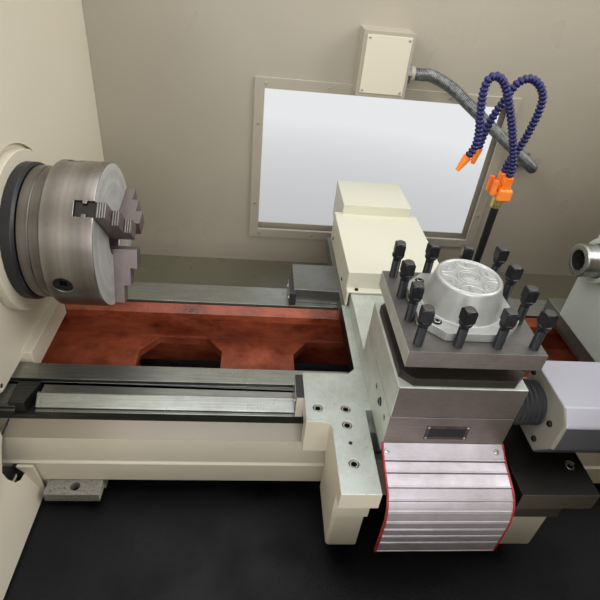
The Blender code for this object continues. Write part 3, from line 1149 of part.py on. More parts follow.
def build_guards():
    """The guards: a rear wall with a framed window and a chip slope, a right wall, and the front frame."""
    left, right = HEAD_FACE_X - 0.001 + FIT, RIGHT_END
    outline = [(WALL_Y, -0.349), (WALL_Y, GUARD_TOP), (REAR_Y - 0.06, GUARD_TOP),
               (REAR_Y - 0.06, TRAY_TOP + 0.010),
               (WALL_Y - 0.006, TRAY_TOP + 0.010), (WALL_Y - 0.006, -0.3555), (0.260, TRAY_TOP + FIT),
               (0.260, -0.4065)]
    rear = plate("rear_guard", outline, "x", left, right - SHEET - FIT)
    hollow = plate("rear_hollow", [(WALL_Y + SHEET, TRAY_TOP - 0.02),
                                   (WALL_Y + SHEET, GUARD_TOP - SHEET),
                                   (REAR_Y - 0.06 - SHEET, GUARD_TOP - SHEET),
                                   (REAR_Y - 0.06 - SHEET, TRAY_TOP - 0.02)],
                   "x", left + SHEET, right - 2 * SHEET, cutter=True)
    (rim_left, rim_low), (rim_right, rim_high), border = WINDOW_LOW, WINDOW_HIGH, 0.025
    rim = box("window_rim", (rim_left, WALL_Y - 0.006, rim_low), (rim_right, WALL_Y + 0.002, rim_high),
              cutter=True)
    window = box("window_opening", (rim_left + border, WALL_Y - 0.05, rim_low + border),
                 (rim_right - border, REAR_Y, rim_high - border), cutter=True)
    hub = box("conduit_box", (CONDUIT_START_X - 0.1365, WALL_Y - 0.060, CONDUIT_START_Z - 0.053),
              (CONDUIT_START_X - 0.0185, WALL_Y + 0.002, CONDUIT_START_Z + 0.087), cutter=True)
    gland = rod("conduit_gland_a", (CONDUIT_START_X - 0.0185, WALL_Y - 0.036, CONDUIT_START_Z), "x",
                -0.004, 0.018, 0.018, sides=20, cutter=True)
    socket = rod("conduit_gland_b", (CONDUIT_END[0], WALL_Y, CONDUIT_END[2]), "y", -0.020, 0.002, 0.018,
                 sides=20, cutter=True)
    join(rear, rim, hub, gland, socket)
    ends = [box(f"slope_end_{k}", (a, 0.20, TRAY_TOP - 0.01), (b, WALL_Y - 0.006, -0.340), cutter=True)
            for k, (a, b) in enumerate(((left - 0.01, left + 0.008), (right - 0.018, right + 0.01)))]
    cut(rear, hollow, window, *ends)
    right_low = TRAY_TOP + 0.010
    box("right_guard", (right - SHEET, FRONT_PLANE + 0.008 + FIT, right_low),
        (right, REAR_Y - 0.06, GUARD_TOP))
    front = box("front_frame", (HEAD_FACE_X + 0.002, FRONT_PLANE, TRAY_TOP - 0.030),
                (right, FRONT_PLANE + 0.008, GUARD_TOP))
    opening = box("door_opening", (OPENING_LEFT, FRONT_PLANE - 0.02, SILL_Z),
                  (OPENING_RIGHT, FRONT_PLANE + 0.03, LINTEL_Z),
                  cutter=True)
    cut(front, opening)
    track = box("door_track", (HEAD_FACE_X + 0.01, FRONT_PLANE - 0.022, SILL_Z - 0.042),
                (right - 0.002, FRONT_PLANE + 0.002, SILL_Z - 0.036), cutter=True)
    rail = box("door_rail", (HEAD_FACE_X + 0.01, FRONT_PLANE - 0.022, LINTEL_Z + 0.034),
               (right - 0.002, FRONT_PLANE + 0.002, LINTEL_Z + 0.040), cutter=True)
    join(front, track, rail)
    tube("conduit", CONDUIT_ROUTE, CONDUIT_RADIUS, "frame", CONDUIT, 22)


def build_door():
    """The sliding door hangs on the front rails; at rest it stands open, to the right of the opening."""
    left, right = OPENING_RIGHT - 0.01, RIGHT_END - 0.001
    low, high = SILL_Z - 0.036 + RUN, LINTEL_Z + 0.034 - RUN
    front, rear = FRONT_PLANE - 0.019, FRONT_PLANE - 0.001
    door = box("door", (left, front, low), (right, rear, high), "door", CREAM, bevel=0.002)
    border = 0.12
    window = box("door_window_hole", (left + border, front - 0.02, low + border),
                 (right - border, rear + 0.02, high - border),
                 "door", cutter=True)
    rebate = box("door_rebate", (left + border - 0.012, front + 0.006, low + border - 0.012),
                 (right - border + 0.012, rear + 0.01, high - border + 0.012), "door", cutter=True)
    cut(door, window, rebate)
    box("door_window", (left + border - 0.012 + FIT, front + 0.006 + FIT, low + border - 0.012 + FIT),
        (right - border + 0.012 - FIT, rear - 0.004, high - border + 0.012 - FIT), "door", GLASS)
    grip_x = left + 0.055
    grip = box("door_grip", (grip_x - 0.009, front - 0.040, 0.02),
               (grip_x + 0.009, front - 0.026, 0.26), "door", cutter=True)
    ends = [box(f"door_grip_{k}", (grip_x - 0.009, front - 0.036, z),
                (grip_x + 0.009, front + 0.002, z + 0.02), "door", cutter=True)
            for k, z in enumerate((0.02, 0.24))]
    join(door, grip, *ends)


def build_panel():
    """The control panel swings on a hinge at the front of the head cover and carries a knob and buttons."""
    low, high = PANEL_LOW, PANEL_HIGH
    panel = box("control_panel", low, high, "panel", CREAM, bevel=0.006)
    hx, hy, hz = PANEL_HINGE
    barrel = rod("panel_barrel", (hx, hy, 0), "z", hz - PANEL_BARREL / 2, hz + PANEL_BARREL / 2, 0.012,
                 "panel", sides=16,
                 cutter=True)
    pin_bore = rod("panel_pin_bore", (hx, hy, hz), "z", -PANEL_BARREL, PANEL_BARREL, 0.005 + RUN,
                   "panel", sides=12, cutter=True)
    leaf = box("panel_leaf", (hx, hy - 0.006, hz - 0.09), (low[0] + 0.02, hy + 0.0, hz + 0.09), "panel",
               cutter=True)
    web = box("panel_web", (low[0] + 0.004, high[1] - 0.01, hz - 0.09),
              (low[0] + 0.03, hy + 0.0, hz + 0.09), "panel", cutter=True)
    screen = box("screen_recess", (low[0] + 0.04, low[1] - 0.01, low[2] + 0.22),
                 (low[0] + 0.27, low[1] + 0.004, high[2] - 0.04),
                 "panel", cutter=True)
    join(panel, barrel, leaf, web)
    cut(panel, screen, pin_bore)
    face = low[1]
    for name, x, z, radius, stand, finish, sides in CONTROLS:
        hole = rod(name + "_hole", (x, face, z), "y", -0.01, 0.018, radius * 0.5 + RUN, "panel",
                   sides=16, cutter=True)
        cut(panel, hole)
        carrier(name, "panel", (x, face, z))
        stem = rod(name, (x, face, z), "y", -stand, -CONTROL_TRAVEL - RUN, radius, name, finish,
                   sides=sides)
        shaft = rod(name + "_shaft", (x, face, z), "y", -stand + 0.004, 0.012, radius * 0.5, name,
                    sides=16, cutter=True)
        join(stem, shaft)


build_base()
build_tray()
build_bed()
build_headstock()
build_head_cover()
build_spindle()
build_motor()
build_chuck()
build_saddle()
build_apron()
build_cross_slide()
build_cross_drive()
build_cross_cover()
build_turret()
build_turret_motor()
build_slat_cover()
build_coolant()
build_feed_drive()
build_tailstock()
build_guards()
build_door()
build_panel()
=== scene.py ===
import json
import math

import bmesh
import bpy
from mathutils import Matrix, Vector

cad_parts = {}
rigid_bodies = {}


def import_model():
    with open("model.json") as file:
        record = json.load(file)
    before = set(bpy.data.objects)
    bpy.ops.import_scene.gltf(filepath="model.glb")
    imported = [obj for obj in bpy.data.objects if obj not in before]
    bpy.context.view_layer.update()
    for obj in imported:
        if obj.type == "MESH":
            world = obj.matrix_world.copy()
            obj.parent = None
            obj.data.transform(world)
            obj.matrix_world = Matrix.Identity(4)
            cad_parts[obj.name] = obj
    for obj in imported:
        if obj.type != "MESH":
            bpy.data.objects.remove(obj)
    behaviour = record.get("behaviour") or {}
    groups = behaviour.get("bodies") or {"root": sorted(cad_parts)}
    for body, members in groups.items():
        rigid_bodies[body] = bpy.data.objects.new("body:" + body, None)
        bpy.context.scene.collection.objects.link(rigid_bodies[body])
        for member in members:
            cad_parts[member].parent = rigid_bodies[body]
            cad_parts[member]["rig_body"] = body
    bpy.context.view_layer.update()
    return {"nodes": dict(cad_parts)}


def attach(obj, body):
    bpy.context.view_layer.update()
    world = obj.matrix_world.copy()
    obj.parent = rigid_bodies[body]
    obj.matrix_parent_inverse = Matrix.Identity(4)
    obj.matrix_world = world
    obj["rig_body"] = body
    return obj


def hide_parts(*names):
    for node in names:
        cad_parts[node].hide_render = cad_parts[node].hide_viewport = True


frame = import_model()

# The camera stands where the photograph was taken, in front of the door opening and above it.
# Everything that was read from the photograph is measured from the spindle line at the chuck's
# front face, which is this point of the machine.
CHUCK_FACE = Vector((-0.335, 0.05, 1.10))
EYE = CHUCK_FACE + Vector((0.2438, -0.8035, 0.4671))
FOCAL_LENGTH_MM = 30.39
lens = bpy.data.cameras.new("camera")
lens.lens = FOCAL_LENGTH_MM
lens.sensor_width = 36
lens.clip_start = 0.01
camera = bpy.data.objects.new("camera", lens)
bpy.context.scene.collection.objects.link(camera)
looking = Vector((0.0975, 0.8015, -0.5900)).normalized()
right_hand = Vector((0.9943, -0.0532, 0.0921)).normalized()
upward = right_hand.cross(looking).normalized()
right_hand = looking.cross(upward)
view = Matrix((right_hand, upward, -looking)).transposed().to_4x4()
view.translation = EYE
camera.matrix_world = view
bpy.context.scene.camera = camera
bpy.context.scene.view_settings.view_transform = "Standard"


# Two segmented coolant hoses bend over from the valve and hold the shape that they are pushed into.
# Each is a chain of blue moulded plastic beads that snap into one another.
def smooth_route(points, count):
    """Gives evenly spread points on a smooth curve through a route's own points."""
    points = [Vector(p) for p in points]
    padded = [2 * points[0] - points[1], *points, 2 * points[-1] - points[-2]]
    fine = []
    for i in range(1, len(padded) - 2):
        a, b, c, d = padded[i - 1:i + 3]
        for k in range(24):
            t = k / 24
            fine.append(0.5 * (2 * b + (c - a) * t + (2 * a - 5 * b + 4 * c - d) * t * t
                               + (3 * b - a - 3 * c + d) * t ** 3))
    fine.append(points[-1])
    lengths = [0.0]
    for one, two in zip(fine, fine[1:]):
        lengths.append(lengths[-1] + (two - one).length)
    even = []
    place = 0
    for k in range(count):
        target = lengths[-1] * k / (count - 1)
        while place < len(lengths) - 2 and lengths[place + 1] < target:
            place += 1
        share = (target - lengths[place]) / max(lengths[place + 1] - lengths[place], 1e-9)
        even.append(fine[place].lerp(fine[place + 1], min(max(share, 0.0), 1.0)))
    return even


def spot(x, y, z):
    """Turns a place measured from the chuck's face into a place in the room."""
    return CHUCK_FACE + Vector((x, y, z))


def tint(red, green, blue):
    """Turns a colour read as 0 to 255 values into the linear values that a shader takes."""
    linear = []
    for value in (red, green, blue):
        if value > 10:
            linear.append(((value / 255 + 0.055) / 1.055) ** 2.4)
        else:
            linear.append(value / 255 / 12.92)
    return tuple(linear)


def blank_finish(name, roughness, metallic=0.0, **sockets):
    """Starts a material: constants go straight on the shader's own sockets."""
    finish = bpy.data.materials.new(name)
    finish.use_nodes = True
    shader = finish.node_tree.nodes["Principled BSDF"]
    shader.inputs["Roughness"].default_value = roughness
    shader.inputs["Metallic"].default_value = metallic
    for socket, value in sockets.items():
        shader.inputs[socket.replace("_", " ")].default_value = value
    return finish, finish.node_tree.links, shader


def grain(finish, scale, stretch=(1, 1, 1), detail=3.0, rough=0.55):
    """Adds a noise over the piece's own coordinates, drawn out along an axis where stretch is small."""
    nodes, links = finish.node_tree.nodes, finish.node_tree.links
    place = nodes.new("ShaderNodeTexCoord")
    fit = nodes.new("ShaderNodeMapping")
    fit.inputs["Scale"].default_value = stretch
    speck = nodes.new("ShaderNodeTexNoise")
    speck.inputs["Scale"].default_value = scale
    speck.inputs["Detail"].default_value = detail
    speck.inputs["Roughness"].default_value = rough
    links.new(place.outputs["Object"], fit.inputs["Vector"])
    links.new(fit.outputs["Vector"], speck.inputs["Vector"])
    return speck.outputs["Fac"]


def shades(finish, fac, *stops):
    """Turns a noise into a run of colours, each stop being (place, colour)."""
    ramp = finish.node_tree.nodes.new("ShaderNodeValToRGB")
    line = ramp.color_ramp
    while len(line.elements) < len(stops):
        line.elements.new(0.5)
    for element, (where, colour) in zip(line.elements, stops):
        element.position = where
        element.color = (*colour, 1)
    finish.node_tree.links.new(fac, ramp.inputs["Fac"])
    return ramp.outputs["Color"]


def span(finish, fac, low, high, start=0.3, end=0.7):
    """Maps a noise to a range, for roughness or height."""
    limits = finish.node_tree.nodes.new("ShaderNodeMapRange")
    for socket, value in (("From Min", start), ("From Max", end), ("To Min", low), ("To Max", high)):
        limits.inputs[socket].default_value = value
    finish.node_tree.links.new(fac, limits.inputs["Value"])
    return limits.outputs["Result"]


def relief(finish, height, strength, distance):
    """Presses a noise into the surface, distance deep in metres."""
    bump = finish.node_tree.nodes.new("ShaderNodeBump")
    bump.inputs["Strength"].default_value = strength
    bump.inputs["Distance"].default_value = distance
    finish.node_tree.links.new(height, bump.inputs["Height"])
    shader = finish.node_tree.nodes["Principled BSDF"]
    finish.node_tree.links.new(bump.outputs["Normal"], shader.inputs["Normal"])


def moulded(name, colour, worn, roughness):
    """Moulded plastic: an even colour with slight clouding, and a faint surface grain."""
    finish, links, shader = blank_finish(name, roughness)
    cloud = grain(finish, 60, detail=4)
    links.new(shades(finish, cloud, (0.35, colour), (0.75, worn)), shader.inputs["Base Color"])
    links.new(span(finish, cloud, roughness - 0.06, roughness + 0.10), shader.inputs["Roughness"])
    relief(finish, grain(finish, 1500), 0.25, 0.0002)
    return finish


def piped(shape, path, radii, sides, finish=0):
    """Skins a round tube over a path, with its own radius at each point, and closes both ends."""
    rings = []
    side = None
    for k, point in enumerate(path):
        run = (path[min(k + 1, len(path) - 1)] - path[max(k - 1, 0)]).normalized()
        if side is None:
            side = run.orthogonal().normalized()
        side = (side - run * side.dot(run)).normalized()
        other = run.cross(side)
        rings.append([shape.verts.new(point + radii[k] * (side * math.cos(a) + other * math.sin(a)))
                      for a in (2 * math.pi * s / sides for s in range(sides))])
    for one, two in zip(rings, rings[1:]):
        for s in range(sides):
            t = (s + 1) % sides
            shape.faces.new((one[s], one[t], two[t], two[s])).material_index = finish
    shape.faces.new(rings[0][::-1]).material_index = finish
    shape.faces.new(rings[-1]).material_index = finish


BROKEN_ANGLE = 32


def settled(name, shape, finishes, angle=35, width=0.0, segments=2, opening=None):
    """Turns a finished bmesh into a piece: edges broken by width, flat faces flat, round ones smooth."""
    bmesh.ops.recalc_face_normals(shape, faces=shape.faces)
    rough = bpy.data.meshes.new(name + "_rough")
    shape.to_mesh(rough)
    shape.free()
    for finish in finishes:
        rough.materials.append(finish)
    rough.shade_smooth()
    rough.set_sharp_from_angle(angle=math.radians(angle))
    piece = bpy.data.objects.new(name, rough)
    bpy.context.scene.collection.objects.link(piece)
    if opening:
        cut = piece.modifiers.new("opening", "BOOLEAN")
        cut.object = opening
        cut.solver = "EXACT"
    if width:
        edge = piece.modifiers.new("broken_edges", "BEVEL")
        edge.width = width
        edge.segments = segments
        edge.limit_method = "ANGLE"
        edge.angle_limit = math.radians(BROKEN_ANGLE)
        edge.use_clamp_overlap = False
    piece.modifiers.new("flat_faces", "WEIGHTED_NORMAL").keep_sharp = True
    piece.data = bpy.data.meshes.new_from_object(piece.evaluated_get(bpy.context.evaluated_depsgraph_get()))
    piece.data.name = name
    piece.modifiers.clear()
    bpy.data.meshes.remove(rough)
    return piece


hose_blue = moulded("hose_blue", tint(6, 6, 64), tint(12, 14, 92), 0.40)
# Each hose's route, from the valve's outlet up and over to its nozzle.
HOSE_ROUTES = (
    [(0.6600, -0.030, 0.1688), (0.6600, -0.030, 0.188), (0.6510, -0.031, 0.212), (0.6400, -0.031, 0.240),
     (0.6270, -0.031, 0.268), (0.6130, -0.030, 0.295), (0.6010, -0.030, 0.312), (0.5880, -0.030, 0.319),
     (0.5775, -0.030, 0.313), (0.5755, -0.030, 0.294), (0.5810, -0.030, 0.262), (0.5870, -0.030, 0.235),
     (0.5870, -0.031, 0.214), (0.5800, -0.032, 0.198)],
    [(0.6600, -0.010, 0.1688), (0.6610, -0.010, 0.186), (0.6676, -0.011, 0.204), (0.6741, -0.011, 0.224),
     (0.6786, -0.011, 0.248), (0.6811, -0.011, 0.272), (0.6785, -0.011, 0.293), (0.6660, -0.011, 0.309),
     (0.6490, -0.011, 0.316), (0.6342, -0.011, 0.310), (0.6250, -0.011, 0.296), (0.6190, -0.011, 0.279),
     (0.6120, -0.011, 0.262), (0.6055, -0.011, 0.236), (0.6025, -0.011, 0.206)])
# A bead's outline: the share of the bead's length, and the radius there.
BEAD = ((0.0, 0.0047), (0.12, 0.0055), (0.28, 0.0064), (0.48, 0.0067), (0.66, 0.0063), (0.80, 0.0055),
        (0.90, 0.0047))
BEAD_PITCH = 0.0068
HOSE_POINTS = 600
HOSE_SIDES = 18
for number, route in enumerate(HOSE_ROUTES, 1):
    route = [spot(*p) for p in route]
    line = smooth_route(route, HOSE_POINTS)
    length = sum((b - a).length for a, b in zip(line, line[1:]))
    beads = round(length / BEAD_PITCH)
    path, radii = [], []
    for k in range(beads):
        for share, radius in BEAD:
            place = (k + share) / beads * (len(line) - 1)
            step = min(int(place), len(line) - 2)
            path.append(line[step].lerp(line[step + 1], place - step))
            radii.append(radius)
    path.append(line[-1])
    radii.append(BEAD[0][1])
    shape = bmesh.new()
    piped(shape, path, radii, HOSE_SIDES)
    hose = settled(f"blue_hose_{number}", shape, [hose_blue])
    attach(hose, "carriage")
    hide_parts(f"coolant_hose_{number}")


# A flexible conduit brings the cables from the terminal box along the rear wall to the right.
# It is a strip of galvanised steel wound into a ribbed tube, held in a gland with a lock nut at each end.
def spun(shape, profile, at, toward, sides=24, finish=0, twist=0.0, loop=False, worn=None):
    """Adds a turned form: rings of (radius, height), where a third value gives a ring that many corners.

    The rings follow the axis from at toward a direction, and loop joins the last ring to the first.
    worn gives the bands, counted from the first, that have another finish: {band: finish}.
    """
    axis = Vector(toward).normalized()
    side = Vector((0, 1, 0)) if abs(axis.x) > 0.9 else Vector((1, 0, 0))
    side = (side - axis * side.dot(axis)).normalized()
    other = axis.cross(side)
    rings = []
    for radius, height, *corners in profile:
        centre = Vector(at) + axis * height
        if radius == 0:
            rings.append([shape.verts.new(centre)])
            continue
        ring = []
        for s in range(sides):
            a = 2 * math.pi * s / sides
            reach = radius
            if corners:
                part = math.pi / corners[0]
                reach = radius * math.cos(part) / math.cos(a % (2 * part) - part)
            ring.append(shape.verts.new(centre + reach * (side * math.cos(a + twist)
                                                          + other * math.sin(a + twist))))
        rings.append(ring)
    bands = list(zip(rings, rings[1:])) + ([(rings[-1], rings[0])] if loop else [])
    for band, (one, two) in enumerate(bands):
        which = (worn or {}).get(band, finish)
        for s in range(sides):
            t = (s + 1) % sides
            if len(one) == 1:
                face = (one[0], two[t], two[s])
            elif len(two) == 1:
                face = (one[s], one[t], two[0])
            else:
                face = (one[s], one[t], two[t], two[s])
            shape.faces.new(face).material_index = which


def fitted(name, shape, finishes, body, slot, *nodes, angle=35):
    """Settles a piece, hangs it on a body of the machine and hides the nodes that it stands for; slot is not
    used.
    """
    piece = settled(name, shape, finishes, angle)
    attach(piece, body)
    if nodes:
        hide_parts(*nodes)


# The conduit's route, from the terminal box to the gland on the rear wall.
CONDUIT_ROUTE = [(0.6065, 0.464, 0.213), (0.630, 0.464, 0.213), (0.652, 0.463, 0.212), (0.700, 0.454, 0.193),
                 (0.750, 0.440, 0.160), (0.800, 0.428, 0.126), (0.850, 0.418, 0.093), (0.900, 0.411, 0.060),
                 (0.938, 0.413, 0.034), (0.960, 0.430, 0.019), (0.965, 0.455, 0.016), (0.965, 0.4795, 0.016)]
RIB_PITCH = 0.0046
RIB_RADII = (0.0131, 0.0141, 0.0143, 0.0137)
CONDUIT_SIDES = 22
route = [spot(*p) for p in CONDUIT_ROUTE]
line = smooth_route(route, 400)
length = sum((b - a).length for a, b in zip(line, line[1:]))
ribs = round(length / RIB_PITCH)
path = smooth_route(route, ribs * len(RIB_RADII) + 1)
radii = [RIB_RADII[k % len(RIB_RADII)] for k in range(len(path))]
wound_steel, links, shader = blank_finish("wound_steel", 0.42, 0.85)
dull = grain(wound_steel, 90, detail=5)
links.new(shades(wound_steel, dull, (0.3, tint(88, 90, 90)), (0.7, tint(138, 140, 138))),
          shader.inputs["Base Color"])
links.new(span(wound_steel, dull, 0.32, 0.58), shader.inputs["Roughness"])
shape = bmesh.new()
piped(shape, path, radii, CONDUIT_SIDES)
conduit = settled("wound_conduit", shape, [wound_steel])
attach(conduit, "frame")
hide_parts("conduit")
NUT = ((0.0182, 0.0), (0.0212, 0.0, 6), (0.0222, 0.0012, 6), (0.0222, 0.0068, 6), (0.0212, 0.0080, 6),
       (0.0182, 0.0080))
shape = bmesh.new()
spun(shape, NUT, spot(0.5885, 0.464, 0.213), (1, 0, 0), loop=True)
spun(shape, NUT, spot(0.965, 0.499, 0.016), (0, -1, 0), loop=True)
fitted("gland_nuts", shape, [wound_steel], "frame", "conduit_steel")


# The coolant riser, its valve block with two taps, and the two nozzles. The riser is a black steel
# tube with a brass fitting, screwed to the carriage, and the rest is moulded orange plastic.
def shaped(node, name, finishes, width=0.0006, choose=None, segments=2, opening=None, seams=()):
    """Gives a solid of the machine its finished look: the same form, with its edges broken.

    choose gives the number of a face's finish from its place and its normal. opening is an object
    whose form is cut out. seams are the places (axis, value) where a finish ends within a face.
    """
    body = frame["nodes"][node]["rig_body"]
    shape = bmesh.new()
    shape.from_mesh(frame["nodes"][node].data)
    bmesh.ops.remove_doubles(shape, verts=shape.verts, dist=0.00002)
    bmesh.ops.dissolve_limit(shape, angle_limit=math.radians(0.6), verts=shape.verts, edges=shape.edges)
    bmesh.ops.recalc_face_normals(shape, faces=shape.faces)
    for axis, value in seams:
        across = Vector([1.0 if letter == axis else 0.0 for letter in "xyz"])
        bmesh.ops.bisect_plane(shape, geom=shape.verts[:] + shape.edges[:] + shape.faces[:], dist=0.00001,
                               plane_co=CHUCK_FACE + across * value, plane_no=across)
    for face in shape.faces:
        face.material_index = choose(face.calc_center_median() - CHUCK_FACE, face.normal) if choose else 0
    piece = settled(name, shape, finishes, angle=50, width=width, segments=segments, opening=opening)
    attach(piece, body)
    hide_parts(node)


valve_orange = moulded("valve_orange", tint(248, 118, 22), tint(255, 150, 60), 0.36)
black_oxide, links, shader = blank_finish("black_oxide", 0.38, 0.5)
patina = grain(black_oxide, 240, detail=4)
links.new(shades(black_oxide, patina, (0.35, tint(20, 21, 23)), (0.75, tint(44, 45, 47))),
          shader.inputs["Base Color"])
links.new(span(black_oxide, patina, 0.28, 0.5), shader.inputs["Roughness"])
relief(black_oxide, patina, 0.15, 0.0003)
brass, links, shader = blank_finish("brass_fitting", 0.3, 1.0)
tarnish = grain(brass, 300, detail=4)
links.new(shades(brass, tarnish, (0.3, tint(196, 164, 92)), (0.8, tint(232, 214, 150))),
          shader.inputs["Base Color"])
links.new(span(brass, tarnish, 0.22, 0.42), shader.inputs["Roughness"])
FITTING_FOOT = 0.1085
shaped("coolant_riser", "riser_tube", [black_oxide, brass], 0.0004,
       lambda at, normal: 1 if at.z > FITTING_FOOT else 0)
shaped("coolant_valve", "valve_block", [valve_orange], 0.0008)
for number in (1, 2):
    shaped(f"coolant_tap_{number}", f"valve_tap_{number}", [valve_orange], 0.0006)
    for holder in frame["nodes"][f"coolant_nozzle_{number}"].material_slots:
        holder.material = valve_orange


# The base is a welded steel box on six levelling feet, with screwed covers over its openings and a
# drawer for chips. It is painted in cream enamel, and the drawer and covers are 3 mm sheet.
def enamel(name, pale, shade, roughness=0.36):
    """Sprayed enamel on sheet or iron: soft clouding, a fine orange peel and dull patches."""
    finish, links, shader = blank_finish(name, roughness)
    cloud = grain(finish, 2.6, detail=2, rough=0.5)
    links.new(shades(finish, cloud, (0.0, shade), (1.0, pale)), shader.inputs["Base Color"])
    dull = grain(finish, 7, detail=1)
    links.new(span(finish, dull, roughness - 0.06, roughness + 0.10, 0.0, 1.0), shader.inputs["Roughness"])
    relief(finish, grain(finish, 420, detail=2), 0.2, 0.0004)
    return finish


def added(shape, part, finish, place):
    """Copies a small form into a piece's mesh, each point moved by place, with a finish of its own."""
    new = [shape.verts.new(place(v.co)) for v in part.verts]
    part.verts.index_update()
    for face in part.faces:
        shape.faces.new([new[v.index] for v in face.verts]).material_index = finish
    part.free()


def block(shape, low, high, edge=0.0, finish=0, segments=2, turn=None):
    """Adds a box between two corners, given from the chuck's face, with its edges rounded."""
    low, high = Vector(low), Vector(high)
    part = bmesh.new()
    bmesh.ops.create_cube(part, size=1.0, matrix=Matrix.LocRotScale((low + high) / 2, None, high - low))
    if edge:
        bmesh.ops.bevel(part, geom=part.edges[:], offset=edge, segments=segments, profile=0.5,
                        affect="EDGES", clamp_overlap=True)
    added(shape, part, finish, lambda p: CHUCK_FACE + (turn @ p if turn else p))


def pan_screw(shape, at, toward, radius, finish=0):
    """Adds a pan head screw with a four-cornered recess."""
    spun(shape, [(0, -0.0005), (radius, -0.0005), (radius, radius * 0.25), (radius * 0.86, radius * 0.5),
                 (radius * 0.55, radius * 0.62), (radius * 0.50, radius * 0.60, 4),
                 (radius * 0.22, radius * 0.2, 4), (0, radius * 0.15)],
         at, toward, 16, finish, twist=0.4)


cream_enamel = enamel("cream_enamel", tint(218, 210, 190), tint(209, 200, 179))
zinc_screw, links, shader = blank_finish("zinc_screw", 0.34, 0.9)
bloom = grain(zinc_screw, 500, detail=4)
links.new(shades(zinc_screw, bloom, (0.3, tint(150, 150, 146)), (0.75, tint(206, 206, 202))),
          shader.inputs["Base Color"])
links.new(span(zinc_screw, bloom, 0.26, 0.44), shader.inputs["Roughness"])
FOOT_TOP = -1.052
shaped("base", "machine_base", [cream_enamel, black_oxide], 0.0015,
       lambda at, normal: 1 if at.z < FOOT_TOP else 0)
# Each cover of the base: its side, its start and end along that side, its foot and top, its screws a row.
BASE_COVERS = (
    ("front", -0.72, -0.10, -0.96, -0.52, 3),
    ("front", 0.78, 1.39, -0.96, -0.52, 3),
    ("front", -0.02, 0.70, -0.98, -0.62, 0),
    ("rear", -0.72, 0.00, -0.96, -0.50, 3),
    ("rear", 0.08, 0.74, -0.96, -0.50, 3),
    ("rear", 0.82, 1.39, -0.96, -0.50, 3),
    ("left", -0.34, 0.34, -0.94, -0.50, 3),
    ("right", -0.34, 0.34, -0.94, -0.50, 3))
SIDES = {"front": (Vector((0, -1, 0)), -0.46), "rear": (Vector((0, 1, 0)), 0.46),
         "left": (Vector((-1, 0, 0)), -0.80), "right": (Vector((1, 0, 0)), 1.47)}
COVER_PROUD, COVER_SUNK, COVER_MARGIN = 0.003, 0.0005, 0.02
covers, screws = bmesh.new(), bmesh.new()
for side, start, end, foot, top, count in BASE_COVERS:
    out, level = SIDES[side]
    if out.x + out.y > 0:
        near, far = level - COVER_SUNK, level + COVER_PROUD
        face = far
    else:
        near, far = level - COVER_PROUD, level + COVER_SUNK
        face = near
    if out.y:
        block(covers, (start, near, foot), (end, far, top), 0.0012)
    else:
        block(covers, (near, start, foot), (far, end, top), 0.0012)
    for k in range(count):
        along = start + COVER_MARGIN + (end - start - 2 * COVER_MARGIN) * k / (count - 1)
        for height in (foot + COVER_MARGIN, top - COVER_MARGIN):
            at = spot(along, face, height) if out.y else spot(face, along, height)
            pan_screw(screws, at, out, 0.0055)
fitted("base_covers", covers, [cream_enamel], "frame", "cream_paint")
fitted("base_cover_screws", screws, [zinc_screw], "frame", "spindle_steel")
# The drawer's pull: a bar on a plate, with a rounded upper edge to grip.
shape = bmesh.new()
block(shape, (0.22, -0.4665, -0.70), (0.46, -0.4625, -0.66), 0.0015)
block(shape, (0.235, -0.4650, -0.694), (0.445, -0.4685, -0.687), 0.001)
piped(shape, [spot(0.24 + 0.2 * k / 8, -0.4665, -0.668) for k in range(9)], [0.0035] * 9, 12)
fitted("drawer_pull", shape, [black_oxide], "frame", "black_oxide")


# The tray lies on the base under the bed. It is a folded sheet pan in a coarse black paint that stays
# wet with oil, so that light glints on its grains.
tray_black, links, shader = blank_finish("tray_black", 0.4, Specular_IOR_Level=0.22)
crust = grain(tray_black, 34, detail=8, rough=0.72)
links.new(shades(tray_black, crust, (0.36, tint(5, 5, 8)), (0.66, tint(10, 10, 14)),
                 (0.84, tint(40, 40, 48))), shader.inputs["Base Color"])
links.new(span(tray_black, grain(tray_black, 12, detail=5), 0.22, 0.62), shader.inputs["Roughness"])
relief(tray_black, grain(tray_black, 330, detail=6, rough=0.7), 0.7, 0.0012)
shaped("chip_tray", "chip_pan", [tray_black], 0.0008)
